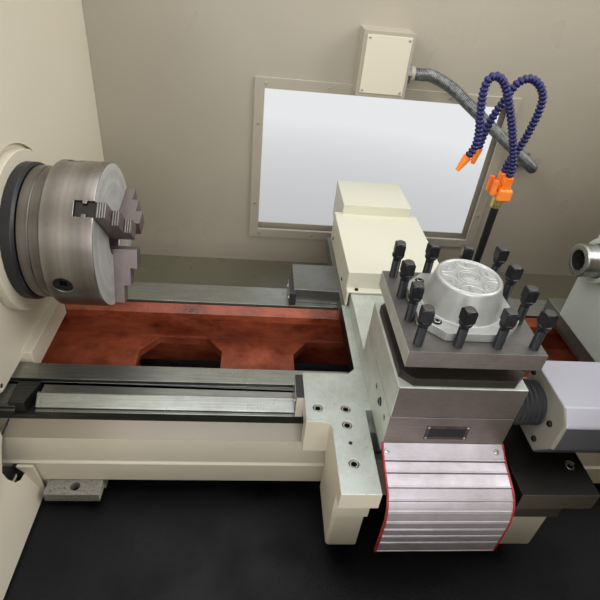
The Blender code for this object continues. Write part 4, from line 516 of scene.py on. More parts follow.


# The bed is one iron casting. Its ways are ground, with their sides and the faces under them in darker steel
# as painted shade. Its inside keeps the red sealing paint that oil has darkened, its front is filled and
# painted in cream with a darker band under the front vee as painted shade, and its bolt lugs are worn bare.
# A small stop block of the same darker steel is clamped on the front way.
def ground(name, pale, dark, along, roughness=0.3, oil=0.0, metallic=0.9, scale=14, chips=False):
    """Ground iron or steel: fine lines along one axis, faint clouding from oil, specks where chips lie."""
    finish, links, shader = blank_finish(name, roughness, metallic)
    nodes = finish.node_tree.nodes
    stretch = [1.0 if axis == along else 60.0 for axis in "xyz"]
    lines = grain(finish, scale, stretch, detail=5, rough=0.7)
    cloud = grain(finish, 9, detail=8, rough=0.68)
    mix = nodes.new("ShaderNodeMix")
    mix.data_type = "RGBA"
    mix.blend_type = "MULTIPLY"
    mix.inputs["Factor"].default_value = 0.75
    links.new(shades(finish, lines, (0.25, dark), (0.72, pale)), mix.inputs["A"])
    links.new(shades(finish, cloud, (0.30, (0.56 - oil, 0.54 - oil, 0.50 - oil)), (0.58, (1, 1, 1))),
              mix.inputs["B"])
    colour = mix.outputs["Result"]
    if chips:
        speck = nodes.new("ShaderNodeMix")
        speck.data_type = "RGBA"
        links.new(span(finish, grain(finish, 330, detail=2), 1.0, 0.0, 0.27, 0.31), speck.inputs["Factor"])
        links.new(colour, speck.inputs["A"])
        speck.inputs["B"].default_value = (0.02, 0.02, 0.02, 1)
        colour = speck.outputs["Result"]
    links.new(colour, shader.inputs["Base Color"])
    links.new(span(finish, cloud, roughness + 0.14, roughness - 0.05), shader.inputs["Roughness"])
    relief(finish, lines, 0.12, 0.0002)
    return finish


def prism(shape, outline, axis, low, high, edge=0.0, finish=0):
    """Adds a plate: an outline given from the chuck's face, drawn out along one axis."""
    place = {"x": lambda u, v, w: Vector((w, u, v)), "y": lambda u, v, w: Vector((u, w, v)),
             "z": lambda u, v, w: Vector((u, v, w))}[axis]
    part = bmesh.new()
    near = [part.verts.new(place(u, v, low)) for u, v in outline]
    far = [part.verts.new(place(u, v, high)) for u, v in outline]
    part.faces.new(near[::-1])
    part.faces.new(far)
    for k in range(len(outline)):
        t = (k + 1) % len(outline)
        part.faces.new((near[k], near[t], far[t], far[k]))
    if edge:
        bmesh.ops.bevel(part, geom=part.edges[:], offset=edge, segments=2, profile=0.5, affect="EDGES",
                        clamp_overlap=True)
    added(shape, part, finish, lambda p: CHUCK_FACE + p)


way_steel = ground("way_steel", tint(182, 184, 178), tint(132, 135, 130), "x", 0.27)
# A darker copy of the ground way steel for the ways' sides and the faces under them: painted shade.
way_steel_shaded = ground("way_steel_shaded", tint(96, 96, 90), tint(44, 46, 44), "x", 0.38, oil=0.1)
red_primer, links, shader = blank_finish("red_primer", 0.5)
stain = grain(red_primer, 13, (1, 1, 1.8), detail=8, rough=0.7)
links.new(shades(red_primer, stain, (0.26, tint(70, 28, 18)), (0.42, tint(122, 54, 32)),
                 (0.60, tint(156, 78, 48)), (0.84, tint(176, 108, 76))), shader.inputs["Base Color"])
links.new(span(red_primer, stain, 0.26, 0.6), shader.inputs["Roughness"])
relief(red_primer, grain(red_primer, 130, detail=6), 0.55, 0.0014)
worn_iron, links, shader = blank_finish("worn_iron", 0.5, 0.3)
pits = grain(worn_iron, 210, detail=8, rough=0.7)
links.new(shades(worn_iron, pits, (0.34, tint(88, 86, 82)), (0.46, tint(146, 143, 136)),
                 (0.75, tint(164, 161, 154))), shader.inputs["Base Color"])
links.new(span(worn_iron, pits, 0.6, 0.36), shader.inputs["Roughness"])
relief(worn_iron, pits, 0.6, 0.0012)
# A darker cream for the band under the front vee, where the way's overhang shades it: painted shade.
shaded_band_enamel = enamel("shaded_band_enamel", tint(142, 132, 114), tint(126, 117, 101), 0.3)
BED_FINISHES = [way_steel, way_steel_shaded, red_primer, cream_enamel, worn_iron, shaded_band_enamel]
GROUND, SHADED_SIDE, PRIMED, PAINTED, BARE, SHADED_BAND = range(6)


def bed_face(at, normal):
    """Says which finish a face of the bed has, by where it lies: at is measured from the chuck's face."""
    on_lug = at.y < -0.2345 and at.z < -0.3735
    if on_lug:
        return BARE
    on_front_band = -0.236 < at.y < -0.211 and -0.264 < at.z < -0.242
    if on_front_band and normal.z > 0.3:
        return SHADED_BAND
    on_rear_way = at.y > 0.082
    if on_rear_way:
        if normal.z > 0.9 and at.z > -0.212:
            return GROUND
        return SHADED_SIDE if at.z > -0.252 and normal.y < 0.5 else PRIMED
    on_flat_way = at.y < -0.112 and at.z > -0.206
    if on_flat_way and normal.z > 0.4:
        return GROUND
    on_vee = at.y < -0.15 and at.z > -0.224
    if on_vee and normal.z > 0.3:
        return GROUND
    if at.y < -0.206:
        under_way = at.z < -0.242 or (normal.z > 0.2 and normal.y < -0.3 and at.z < -0.236)
        return PAINTED if under_way else SHADED_SIDE
    if at.y < -0.112 and at.z > -0.236:
        return SHADED_SIDE
    inside = at.z > -0.3205 and at.y > -0.182
    return PRIMED if inside else PAINTED


shaped("bed", "bed_casting", BED_FINISHES, 0.0008, bed_face)
shape = bmesh.new()
prism(shape, [(-0.1500, -0.1560), (-0.1120, -0.1560), (-0.1240, -0.2060), (-0.1500, -0.2060)], "z",
      -0.2320, -0.2085, 0.0015)
fitted("way_stop", shape, [way_steel_shaded], "frame", "bed_casting")


# The headstock casting stands under a folded sheet case in cream enamel. The case has pressed louvres
# for the motor's air, and a service door on its end with two hinges and a quarter-turn lock.
LOUVRE_LENGTH, LOUVRE_HEIGHT, LOUVRE_DEPTH = 0.14, 0.014, 0.005
SHEET, SHADED_SLIT = 0, 1


def louvre(shape, at, across, out):
    """Adds a pressed louvre: a slope that rises from the sheet to a slit at its lower edge, closed by a
    black face as painted shade.
    """
    across, out, up = Vector(across), Vector(out), Vector((0, 0, 1))
    half, height, depth = LOUVRE_LENGTH / 2, LOUVRE_HEIGHT, LOUVRE_DEPTH
    top = [at - across * half + up * height / 2, at + across * half + up * height / 2]
    foot = [at - across * half - up * height / 2, at + across * half - up * height / 2]
    lip = [foot[0] + across * depth * 1.4 + out * depth, foot[1] - across * depth * 1.4 + out * depth]
    crown = [top[0] + across * depth * 1.2 - up * height * 0.3 + out * depth * 0.7,
             top[1] - across * depth * 1.2 - up * height * 0.3 + out * depth * 0.7]
    top, foot, lip, crown = [[shape.verts.new(point) for point in pair] for pair in (top, foot, lip, crown)]
    for corners, which in (
            ((top[0], top[1], crown[1], crown[0]), SHEET),
            ((crown[0], crown[1], lip[1], lip[0]), SHEET),
            ((top[0], crown[0], lip[0], foot[0]), SHEET),
            ((top[1], foot[1], lip[1], crown[1]), SHEET),
            ((lip[0], lip[1], foot[1], foot[0]), SHADED_SLIT),
            ((top[0], foot[0], foot[1], top[1]), SHEET)):
        shape.faces.new(corners).material_index = which


shaped("headstock", "headstock_casting", [cream_enamel], 0.0015)
shaped("headstock_cover", "headstock_case", [cream_enamel], 0.0008)
CASE_LEFT, CASE_REAR, CASE_TOP = -0.85, 0.60, 0.60
LOUVRE_PITCH, HINGE_RADIUS = 0.026, 0.0045
DOOR_FACE = CASE_LEFT - 0.003
shape = bmesh.new()
block(shape, (DOOR_FACE, -0.47, -0.33), (CASE_LEFT + 0.0005, 0.50, 0.52), 0.0015)
for k in range(9):
    for y in (0.16, 0.33):
        louvre(shape, spot(DOOR_FACE, y, -0.26 + LOUVRE_PITCH * k), (0, 1, 0), (-1, 0, 0))
        louvre(shape, spot(-0.62 + (y - 0.16), CASE_REAR, -0.22 + LOUVRE_PITCH * k), (-1, 0, 0), (0, 1, 0))
for z in (-0.22, 0.40):
    for low, high in ((-0.035, -0.0125), (-0.0115, 0.0115), (0.0125, 0.035)):
        knuckle = [(0, low), (HINGE_RADIUS, low), (HINGE_RADIUS, high), (0, high)]
        spun(shape, knuckle, spot(CASE_LEFT - 0.0022, 0.504, z), (0, 0, 1), 12, 2)
fitted("case_door", shape, [cream_enamel, black_oxide, zinc_screw], "frame", "cream_paint")
shape = bmesh.new()
spun(shape, [(0, 0), (0.016, 0), (0.016, 0.002), (0.014, 0.0035), (0.006, 0.0035), (0.0045, 0.002, 4),
             (0, 0.002)], spot(DOOR_FACE, -0.43, 0.10), (-1, 0, 0))
for side in (-1, 1):
    for x in (-0.80, -0.50, -0.22):
        pan_screw(shape, spot(x, 0.02 + side * 0.55, CASE_TOP), (0, 0, 1), 0.006)
fitted("case_lock", shape, [zinc_screw], "frame", "spindle_steel")


# The walls of the working room are 3 mm sheet in cream, screwed together, and the rear and right walls
# are painted a darker cream as painted shade. The rear wall has a window, a terminal box and a slope for
# the chips, painted dark olive as a painted reflection. The left wall's opening round the bed has a black
# rubber edge and a small welded gusset; black plates behind it and black discs on the wall's holes are
# painted shade.
# The rear and right walls' cream, darker than the rest of the machine: painted shade.
wall_shaded_enamel = enamel("wall_shaded_enamel", tint(176, 168, 151), tint(160, 152, 136), 0.28)
# The chip slope's dark olive is a painted reflection.
slope_reflection_enamel = enamel("slope_reflection_enamel", tint(106, 103, 84), tint(86, 84, 68), 0.26)
# The outline of the left wall's opening in y and z, from its upper end round its front to its foot.
OPENING = [(-0.1890, -0.2372), (-0.2180, -0.2435), (-0.2420, -0.2460), (-0.2555, -0.2600),
           (-0.2684, -0.2841), (-0.2775, -0.3000), (-0.2790, -0.3160), (-0.2730, -0.3340),
           (-0.2610, -0.3435), (-0.2470, -0.3450), (-0.2380, -0.3390), (-0.2300, -0.3300),
           (-0.2300, -0.2600), (-0.2080, -0.2420)]
EDGED = OPENING[:11]
SHADE_FILLED = OPENING[5:11]
shape = bmesh.new()
prism(shape, OPENING, "x", -0.20, -0.10)
bmesh.ops.recalc_face_normals(shape, faces=shape.faces)
cutter_mesh = bpy.data.meshes.new("opening_cutter")
shape.to_mesh(cutter_mesh)
shape.free()
cutter = bpy.data.objects.new("opening_cutter", cutter_mesh)
bpy.context.scene.collection.objects.link(cutter)
shaped("left_guard", "left_wall", [cream_enamel], 0.0005, opening=cutter)
bpy.data.objects.remove(cutter)
bpy.data.meshes.remove(cutter_mesh)
shaped("right_guard", "right_wall", [wall_shaded_enamel], 0.0005)
SLOPE_TOP, WINDOW_WALL = -0.345, 0.494
shaped("rear_guard", "rear_wall", [wall_shaded_enamel, slope_reflection_enamel], 0.0006,
       lambda at, normal: 1 if at.z < SLOPE_TOP and at.y < WINDOW_WALL - 0.0005 else 0)
shape = bmesh.new()
block(shape, (0.478, 0.4375, 0.168), (0.581, 0.4402, 0.292), 0.0008)
fitted("terminal_lid", shape, [cream_enamel], "frame", "cream_paint")
shape = bmesh.new()
for x in (0.484, 0.575):
    for z in (0.174, 0.286):
        pan_screw(shape, spot(x, 0.4376, z), (0, -1, 0), 0.0028)
for k in range(5):
    for z in (-0.2525, 0.1585):
        pan_screw(shape, spot(0.26 + 0.154 * k, WINDOW_WALL, z), (0, -1, 0), 0.0032)
for z in (-0.16, 0.06):
    for x in (0.2445, 0.8925):
        pan_screw(shape, spot(x, WINDOW_WALL, z), (0, -1, 0), 0.0032)
RIGHT_WALL = 1.5203
for k in range(6):
    for z in (0.575, -0.375):
        pan_screw(shape, spot(RIGHT_WALL, -0.45 + 0.19 * k, z), (1, 0, 0), 0.005)
fitted("wall_screws", shape, [zinc_screw], "frame", "spindle_steel")
# Black for the opening's rubber edge, and for plates and discs that are painted shade.
rubber_and_shade_black = moulded("rubber_and_shade_black", tint(12, 12, 13), tint(20, 20, 22), 0.6)
shape = bmesh.new()
WALL_FACE = -0.1512
# Black discs on three holes of the left wall: painted shade in the holes.
for y, z, radius in ((-0.203, -0.173, 0.0042), (-0.309, -0.397, 0.0045), (-0.330, -0.200, 0.0042)):
    spun(shape, [(0, 0), (radius, 0), (radius * 0.9, 0.0007), (radius * 0.6, 0.0010), (0, 0.0010)],
         spot(WALL_FACE, y, z), (1, 0, 0))
piped(shape, [spot(WALL_FACE - 0.0010, y, z) for y, z in EDGED], [0.0014] * len(EDGED), 8)
# A black sheet behind the opening's lower part and a black block beside the gusset: painted shade.
prism(shape, [(-0.2715, -0.2895), *SHADE_FILLED], "x", WALL_FACE - 0.0030, WALL_FACE - 0.0005)
prism(shape, [(WALL_FACE - 0.0030, -0.3270), (WALL_FACE - 0.0030, -0.3720), (-0.1310, -0.3720),
              (-0.1362, -0.3470), (-0.1480, -0.3270)], "y", -0.2468, -0.2402)
fitted("wall_edging_and_shade", shape, [rubber_and_shade_black], "frame", "black_paint")
shape = bmesh.new()
prism(shape, [(-0.1475, -0.3275), (-0.1354, -0.3460), (-0.1300, -0.3700), (-0.1300, -0.4120),
              (-0.1130, -0.4120), (-0.1130, -0.3950), (-0.1180, -0.3440), (-0.1200, -0.3275)],
      "y", -0.2472, -0.2415)
fitted("wall_gusset", shape, [cream_enamel], "frame", "cream_paint")


# The front frame carries the rails of the sliding door. The cap round the spindle nose and the three
# motors are cast and painted satin black. The spindle's motor has cooling ribs, and each feed motor has
# a plug for its cable.
satin_black = enamel("satin_black", tint(30, 30, 33), tint(20, 20, 22), 0.4)
shaped("front_frame", "door_frame", [cream_enamel], 0.0008)
shaped("nose_cap", "nose_ring", [satin_black], 0.0006)
shaped("spindle_motor", "main_motor", [satin_black], 0.001)
shaped("feed_servo", "feed_motor", [satin_black], 0.001)
shaped("cross_servo", "cross_motor", [satin_black], 0.001)
shape = bmesh.new()
COOLING_RIB = [(0.1048, 0), (0.1085, 0), (0.1085, 0.004), (0.1048, 0.004)]
for k in range(16):
    spun(shape, COOLING_RIB, spot(-0.62 + 0.0165 * k, 0.36, -0.05), (1, 0, 0), 40, loop=True)
MOTOR_PLUG = [(0, -0.001), (0.011, -0.001), (0.011, 0.008), (0.0095, 0.0105), (0, 0.0105)]
spun(shape, MOTOR_PLUG, spot(1.40, 0.225, -0.2556), (0, 0, 1), 20)
fitted("motor_ribs", shape, [satin_black], "frame", "black_paint")
shape = bmesh.new()
spun(shape, MOTOR_PLUG, spot(0.548, 0.42, -0.1412), (0, 0, 1), 20)
fitted("cross_motor_plug", shape, [satin_black], "carriage", "black_paint")


# The spindle runs in two bearings, and a flat belt drives it from the pulley of its motor. They are seen
# through the chuck's bore and from behind. The steel parts are turned, so their marks run round the axis.
LINE_HALF = 0.0004


def lathe_turned(name, pale, dark, centre, roughness=0.27, lines=(), metallic=0.95):
    """Turned steel: fine rings round an axis along x through centre, and deeper lines at some radii."""
    finish, links, shader = blank_finish(name, roughness, metallic)
    nodes = finish.node_tree.nodes
    place = nodes.new("ShaderNodeTexCoord")
    shift = nodes.new("ShaderNodeVectorMath")
    shift.operation = "SUBTRACT"
    shift.inputs[1].default_value = centre
    apart = nodes.new("ShaderNodeSeparateXYZ")
    links.new(place.outputs["Object"], shift.inputs[0])
    links.new(shift.outputs["Vector"], apart.inputs["Vector"])
    flat = nodes.new("ShaderNodeCombineXYZ")
    links.new(apart.outputs["Y"], flat.inputs["X"])
    links.new(apart.outputs["Z"], flat.inputs["Y"])
    reach = nodes.new("ShaderNodeVectorMath")
    reach.operation = "LENGTH"
    links.new(flat.outputs["Vector"], reach.inputs[0])
    both = nodes.new("ShaderNodeCombineXYZ")
    links.new(reach.outputs["Value"], both.inputs["X"])
    links.new(apart.outputs["X"], both.inputs["Y"])
    rings = nodes.new("ShaderNodeTexNoise")
    rings.inputs["Scale"].default_value = 900
    rings.inputs["Detail"].default_value = 3
    links.new(both.outputs["Vector"], rings.inputs["Vector"])
    wide = nodes.new("ShaderNodeTexNoise")
    wide.inputs["Scale"].default_value = 60
    links.new(both.outputs["Vector"], wide.inputs["Vector"])
    smear = grain(finish, 11, detail=6, rough=0.6)
    mix = nodes.new("ShaderNodeMix")
    mix.data_type = "RGBA"
    mix.blend_type = "MULTIPLY"
    mix.inputs["Factor"].default_value = 0.6
    links.new(shades(finish, wide.outputs["Fac"], (0.3, dark), (0.7, pale)), mix.inputs["A"])
    links.new(shades(finish, smear, (0.32, (0.55, 0.54, 0.52)), (0.62, (1, 1, 1))), mix.inputs["B"])
    colour = mix.outputs["Result"]
    for radius in lines:
        groove = nodes.new("ShaderNodeMath")
        groove.operation = "COMPARE"
        groove.inputs[1].default_value = radius
        groove.inputs[2].default_value = LINE_HALF
        links.new(reach.outputs["Value"], groove.inputs[0])
        cut = nodes.new("ShaderNodeMix")
        cut.data_type = "RGBA"
        links.new(groove.outputs["Value"], cut.inputs["Factor"])
        links.new(colour, cut.inputs["A"])
        cut.inputs["B"].default_value = (*dark, 1)
        colour = cut.outputs["Result"]
    links.new(colour, shader.inputs["Base Color"])
    links.new(span(finish, smear, roughness + 0.12, roughness - 0.03), shader.inputs["Roughness"])
    relief(finish, rings.outputs["Fac"], 0.10, 0.0002)
    return finish


MOTOR_LINE = spot(0, 0.36, -0.05)
spindle_turned = lathe_turned("spindle_turned", tint(176, 176, 172), tint(120, 120, 116), CHUCK_FACE)
motor_turned = lathe_turned("motor_turned", tint(176, 176, 172), tint(120, 120, 116), MOTOR_LINE)
shaped("spindle", "main_spindle", [spindle_turned], 0.0006)
for end in ("front", "rear"):
    shaped(f"spindle_bearing_{end}", f"{end}_bearing", [spindle_turned], 0.0005)
shaped("motor_pulley", "small_pulley", [motor_turned], 0.0008)
belt_rubber = moulded("belt_rubber_black", tint(26, 26, 27), tint(40, 40, 41), 0.7)
shaped("drive_belt", "flat_belt", [belt_rubber], 0.0006)


# The chuck is turned steel: a back plate, the body with three key sockets, and the scroll inside it.
# The three jaws are hardened and ground, with gripping teeth milled across the face of each step.
chuck_turned = lathe_turned("chuck_turned", tint(168, 161, 156), tint(134, 129, 125), CHUCK_FACE, 0.27)
# A paler, less metallic copy of the turned steel for the chuck's front face: a painted highlight from the
# light at its right. Its two dark lines are turned grooves.
chuck_front_lit = lathe_turned("chuck_front_lit", tint(222, 223, 218), tint(190, 191, 186), CHUCK_FACE, 0.40,
                           lines=(0.060, 0.104), metallic=0.55)
chuck_back = lathe_turned("chuck_back", tint(132, 128, 122), tint(98, 95, 91), CHUCK_FACE, 0.30)
FRONT_FACE = -0.001
shaped("backplate", "chuck_backplate", [chuck_back], 0.0006)
shaped("chuck_body", "chuck_drum", [chuck_turned, chuck_front_lit], 0.0007,
       lambda at, normal: 1 if normal.x > 0.9 and at.x > FRONT_FACE else 0)
shaped("scroll", "scroll_ring", [spindle_turned], 0.0005)
jaw_steel = ground("jaw_steel", tint(140, 128, 126), tint(112, 102, 101), "y", 0.36, metallic=0.75)
# A dark copy of the jaw steel for the faces that look outward, between the teeth: painted shade in the
# grooves.
jaw_shaded = ground("jaw_shaded", tint(66, 63, 60), tint(42, 41, 40), "z", 0.4, metallic=0.7)
jaw_bright = ground("jaw_bright", tint(150, 147, 142), tint(112, 110, 107), "x", 0.34, scale=40)
JAW_ANGLES = (132.0, 12.0, 252.0)
# The face of each step: how far out it stands, and where it starts and ends along the chuck's axis.
JAW_RISERS = ((0.055, 0.0292, 0.0408), (0.088, 0.0172, 0.0288), (0.120, 0.0020, 0.0168))
JAW_HALF = 0.0125
TOOTH_SUNK, TOOTH_PROUD, TOOTH_SHARE = 0.0012, 0.0018, 0.35
for number, angle in enumerate(JAW_ANGLES, 1):
    turn = Matrix.Rotation(math.radians(angle), 3, "X")
    outward = Vector((0, math.cos(math.radians(angle)), math.sin(math.radians(angle))))
    shaped(f"chuck_jaw_{number}", f"stepped_jaw_{number}", [jaw_steel, jaw_shaded], 0.0006,
           lambda at, normal: 1 if normal.dot(outward) > 0.8 else 0)
    shaped(f"pinion_{number}", f"key_socket_{number}", [black_oxide], 0.0006)
    shape = bmesh.new()
    for reach, low, high in JAW_RISERS:
        teeth = 3 if high - low < 0.013 else 4
        pitch = (high - low) / teeth
        half = pitch * TOOTH_SHARE
        for k in range(teeth):
            at = low + pitch * (k + 0.5)
            block(shape, (at - half, reach - TOOTH_SUNK, -JAW_HALF),
                  (at + half, reach + TOOTH_PROUD, JAW_HALF), 0.0006, segments=1, turn=turn)
    fitted(f"jaw_teeth_{number}", shape, [jaw_bright], f"jaw_{number}", "chuck_steel")


# The carriage: a ground iron saddle held by socket screws in counterbores, with rubber wipers on its
# ends under pressed steel plates. Its apron and the cover over the rear of the cross slide are painted
# castings, and the feed screws under them are turned steel.
def socket_screw(shape, at, toward, radius, height, finish=0, twist=0.0, worn=0):
    """Adds a socket head screw on a face: a turned head, worn on top, with a six-sided socket."""
    rim, socket = radius * 0.12, radius * 0.60
    spun(shape, [(0, -0.0005), (radius, -0.0005), (radius, height - rim), (radius - rim, height),
                 (socket * 1.14, height), (socket, height - rim, 6), (socket, height * 0.35, 6),
                 (0, height * 0.30)], at, toward, 24, finish, twist, worn={2: worn, 3: worn})


saddle_iron = ground("saddle_iron", tint(206, 211, 204), tint(184, 189, 182), "y", 0.34, metallic=0.6,
                     scale=40, chips=True)
# A dark copy of the saddle's iron for the right wing's top and the faces that look left beside the cross
# slide: painted shade.
saddle_shaded = ground("saddle_shaded", tint(62, 60, 56), tint(40, 40, 39), "x", 0.40, oil=0.1,
                     metallic=0.95, scale=30)
saddle_rear = ground("saddle_rear", tint(134, 136, 130), tint(104, 106, 100), "x", 0.34, metallic=0.7,
                     scale=30)
saddle_cut = ground("saddle_cut", tint(118, 112, 98), tint(94, 90, 80), "x", 0.4, metallic=0.6, scale=30)
wiper_rubber = moulded("wiper_rubber", tint(28, 28, 30), tint(46, 46, 48), 0.6)
SADDLE_FINISHES = [saddle_iron, wiper_rubber, saddle_shaded, saddle_rear, cream_enamel, saddle_cut]
BRIGHT, WIPER, SHADED_WING, DULL_REAR, CREAM_FRONT, CUT_FRONT = range(6)
REAR_START, ARM_FRONT = 0.05, -0.215


def saddle_face(at, normal):
    """Says which finish a face of the saddle has, by where it lies: at is from the chuck's face."""
    on_end = at.x < 0.3375 or at.x > 0.7752
    if on_end:
        return WIPER
    if at.y > REAR_START:
        return DULL_REAR
    on_right_wing = at.x > 0.640 and (normal.z > 0.5 or normal.y < -0.5)
    if on_right_wing:
        return SHADED_WING if normal.z > 0.5 else CUT_FRONT
    faces_front = normal.y < -0.5 or (normal.x < -0.5 and at.y < ARM_FRONT)
    if at.x < 0.50 and faces_front:
        return CREAM_FRONT
    return SHADED_WING if normal.x < -0.5 and at.x > 0.38 else BRIGHT


shaped("saddle", "saddle_casting", SADDLE_FINISHES, 0.0008, saddle_face,
       seams=(("x", 0.644), ("y", REAR_START), ("y", ARM_FRONT)))
SADDLE_TOP = -0.170
SADDLE_SCREWS = ((0.363, -0.237), (0.410, -0.238), (0.408, -0.272), (0.409, -0.345),
                 (0.754, -0.344), (0.710, -0.238), (0.754, -0.238))
shape = bmesh.new()
for k, (x, y) in enumerate(SADDLE_SCREWS):
    socket_screw(shape, spot(x, y, SADDLE_TOP - 0.0120), (0, 0, 1), 0.0070, 0.0100, twist=0.5 * k, worn=1)
spun(shape, [(0, -0.001), (0.0036, -0.001), (0.0030, 0.0006), (0, 0.0006)], spot(0.4085, -0.308, SADDLE_TOP),
     (0, 0, 1), 16)
fitted("saddle_screws", shape, [black_oxide, zinc_screw], "carriage", "black_oxide")
PLATE_THICK = 0.0012
shape = bmesh.new()
for face, out in ((0.3290, -1), (0.7870, 1)):
    near, far = sorted((face, face + out * PLATE_THICK))
    block(shape, (near, -0.212, -0.2020), (far, -0.160, -0.1750), 0.0004)
    block(shape, (near, 0.091, -0.2020), (far, 0.148, -0.1760), 0.0004)
    for y, z in ((-0.206, -0.1885), (-0.166, -0.1885), (0.097, -0.189), (0.142, -0.189)):
        pan_screw(shape, spot(face + out * PLATE_THICK, y, z), (out, 0, 0), 0.0034)
fitted("wiper_plates", shape, [zinc_screw], "carriage", "spindle_steel")
shaped("apron", "apron_casting", [cream_enamel], 0.002)
cover_enamel = enamel("cover_enamel", tint(222, 220, 200), tint(214, 211, 190), 0.34)
shaped("cross_cover", "screw_cover", [cover_enamel], 0.0012)
shape = bmesh.new()
for x in (0.4649, 0.6311):
    socket_screw(shape, spot(x, 0.0572, -0.134), (0, 0, 1), 0.0040, 0.0028)
for y in (0.12, 0.30):
    for x, out in ((0.444, -1), (0.652, 1)):
        pan_screw(shape, spot(x, y, -0.150), (out, 0, 0), 0.0038)
fitted("cover_screws", shape, [black_oxide], "carriage", "black_oxide")
shaped("feed_screw", "long_screw", [spindle_turned], 0.0)
shaped("cross_screw", "short_screw", [spindle_turned], 0.0)


# The cross slide and the raiser block on it are ground iron. Three gib screws, one with a lock nut,
# stand in the slide's left side, and a bare dark plate is riveted to its front.
slide_iron = ground("slide_iron", tint(150, 138, 132), tint(124, 114, 109), "x", 0.34, metallic=0.7,
                    scale=30)
# A paler copy of the slide's iron for the sides and tops of the slide and raiser block: painted highlight.
slide_lit_side = ground("slide_lit_side", tint(208, 214, 204), tint(178, 184, 174), "y", 0.38, metallic=0.25,
                    scale=30)
shaped("cross_slide", "slide_casting", [slide_iron, slide_lit_side], 0.0008,
       lambda at, normal: 1 if abs(normal.x) > 0.7 or (normal.z > 0.7 and at.y > -0.1) else 0)
shaped("turret_base", "turret_block", [slide_iron, slide_lit_side], 0.0008,
       lambda at, normal: 1 if abs(normal.x) > 0.7 or normal.z > 0.7 else 0)
plate_dark, links, shader = blank_finish("plate_dark", 0.36, 0.7)
etched = grain(plate_dark, 60, detail=5)
links.new(shades(plate_dark, etched, (0.3, tint(66, 60, 57)), (0.7, tint(92, 86, 82))),
          shader.inputs["Base Color"])
links.new(span(plate_dark, etched, 0.28, 0.46), shader.inputs["Roughness"])
shape = bmesh.new()
block(shape, (0.5135, -0.3227, -0.1390), (0.5805, -0.3218, -0.1096), 0.0003)
block(shape, (0.5185, -0.3230, -0.1335), (0.5755, -0.3225, -0.1150), 0.0002, 1)
for x in (0.5168, 0.5772):
    for z in (-0.1358, -0.1128):
        spun(shape, [(0, 0), (0.0019, 0), (0.0016, 0.0008), (0.0008, 0.0012), (0, 0.0013)],
             spot(x, -0.3227, z), (0, -1, 0), 14, 2)
fitted("bare_plate", shape, [plate_dark, black_oxide, zinc_screw], "slide", "slide_iron")
SLIDE_LEFT, GIB_LINE = 0.4612, -0.118
shape = bmesh.new()
for y, radius, stand in ((-0.235, 0.0046, 0.0078), (-0.268, 0.0040, 0.0118), (-0.300, 0.0046, 0.0078)):
    spun(shape, [(0, 0), (radius, 0), (radius, stand - 0.0008), (radius * 0.8, stand),
                 (radius * 0.55, stand), (radius * 0.5, stand - 0.0005, 6),
                 (radius * 0.5, stand - 0.003, 6), (0, stand - 0.003)],
         spot(SLIDE_LEFT, y, GIB_LINE), (-1, 0, 0), worn={3: 1})
spun(shape, [(0.0040, 0), (0.0062, 0, 6), (0.0070, 0.0006, 6), (0.0070, 0.0098, 6), (0.0062, 0.0104, 6),
             (0.0040, 0.0104)], spot(SLIDE_LEFT, -0.268, GIB_LINE), (-1, 0, 0), loop=True, worn={3: 1})
fitted("gib_screws", shape, [black_oxide, zinc_screw], "slide", "black_oxide")


# The turret's drive motor lies beside the raiser block under a light grey cast cover. A black rubber
# boot closes its neck, and four socket screws hold each end of the cover.
cover_grey = enamel("cover_grey", tint(174, 173, 180), tint(160, 159, 168), 0.3)
# A darker copy of the cover's grey for the faces that do not look up: painted shade.
cover_shaded_under = enamel("cover_shaded_under", tint(84, 84, 88), tint(70, 70, 75), 0.34)
cover_end = enamel("cover_end", tint(146, 141, 128), tint(132, 127, 115), 0.34)
MOTOR_FINISHES = [cover_grey, cover_shaded_under, belt_rubber, cover_end]
UPPER, UNDER, NECK, END = range(4)
BOOT_LEFT, COVER_LEFT = 0.6436, 0.6895
BOOT_FOLDS = 6


def motor_face(at, normal):
    """Says which finish a face of the motor has: light on top, a darker copy below as painted shade, warm
    grey at its ends.
    """
    if at.x < COVER_LEFT:
        return NECK
    if abs(normal.x) > 0.7:
        return END
    return UNDER if normal.z < 0.3 else UPPER


shaped("turret_motor", "turret_drive", MOTOR_FINISHES, 0.002, motor_face)
shape = bmesh.new()
fold = (COVER_LEFT - BOOT_LEFT) / BOOT_FOLDS
profile = [(0.0302, 0.0)]
for k in range(BOOT_FOLDS):
    profile += [(0.0312, fold * (k + 0.15)), (0.0345, fold * (k + 0.5)), (0.0312, fold * (k + 0.85))]
profile.append((0.0302, fold * BOOT_FOLDS))
spun(shape, profile, spot(BOOT_LEFT, -0.290, -0.088), (1, 0, 0), 36, loop=True)
fitted("motor_boot", shape, [belt_rubber], "slide", "black_plastic")
shape = bmesh.new()
for x, out in ((0.6898, -1), (0.9302, 1)):
    for y, z in ((-0.2560, -0.0560), (-0.3350, -0.0840), (-0.2560, -0.1400), (-0.3230, -0.1330)):
        socket_screw(shape, spot(x, y, z), (out, 0, 0), 0.0046, 0.0040)
fitted("motor_cover_screws", shape, [black_oxide], "slide", "black_oxide")


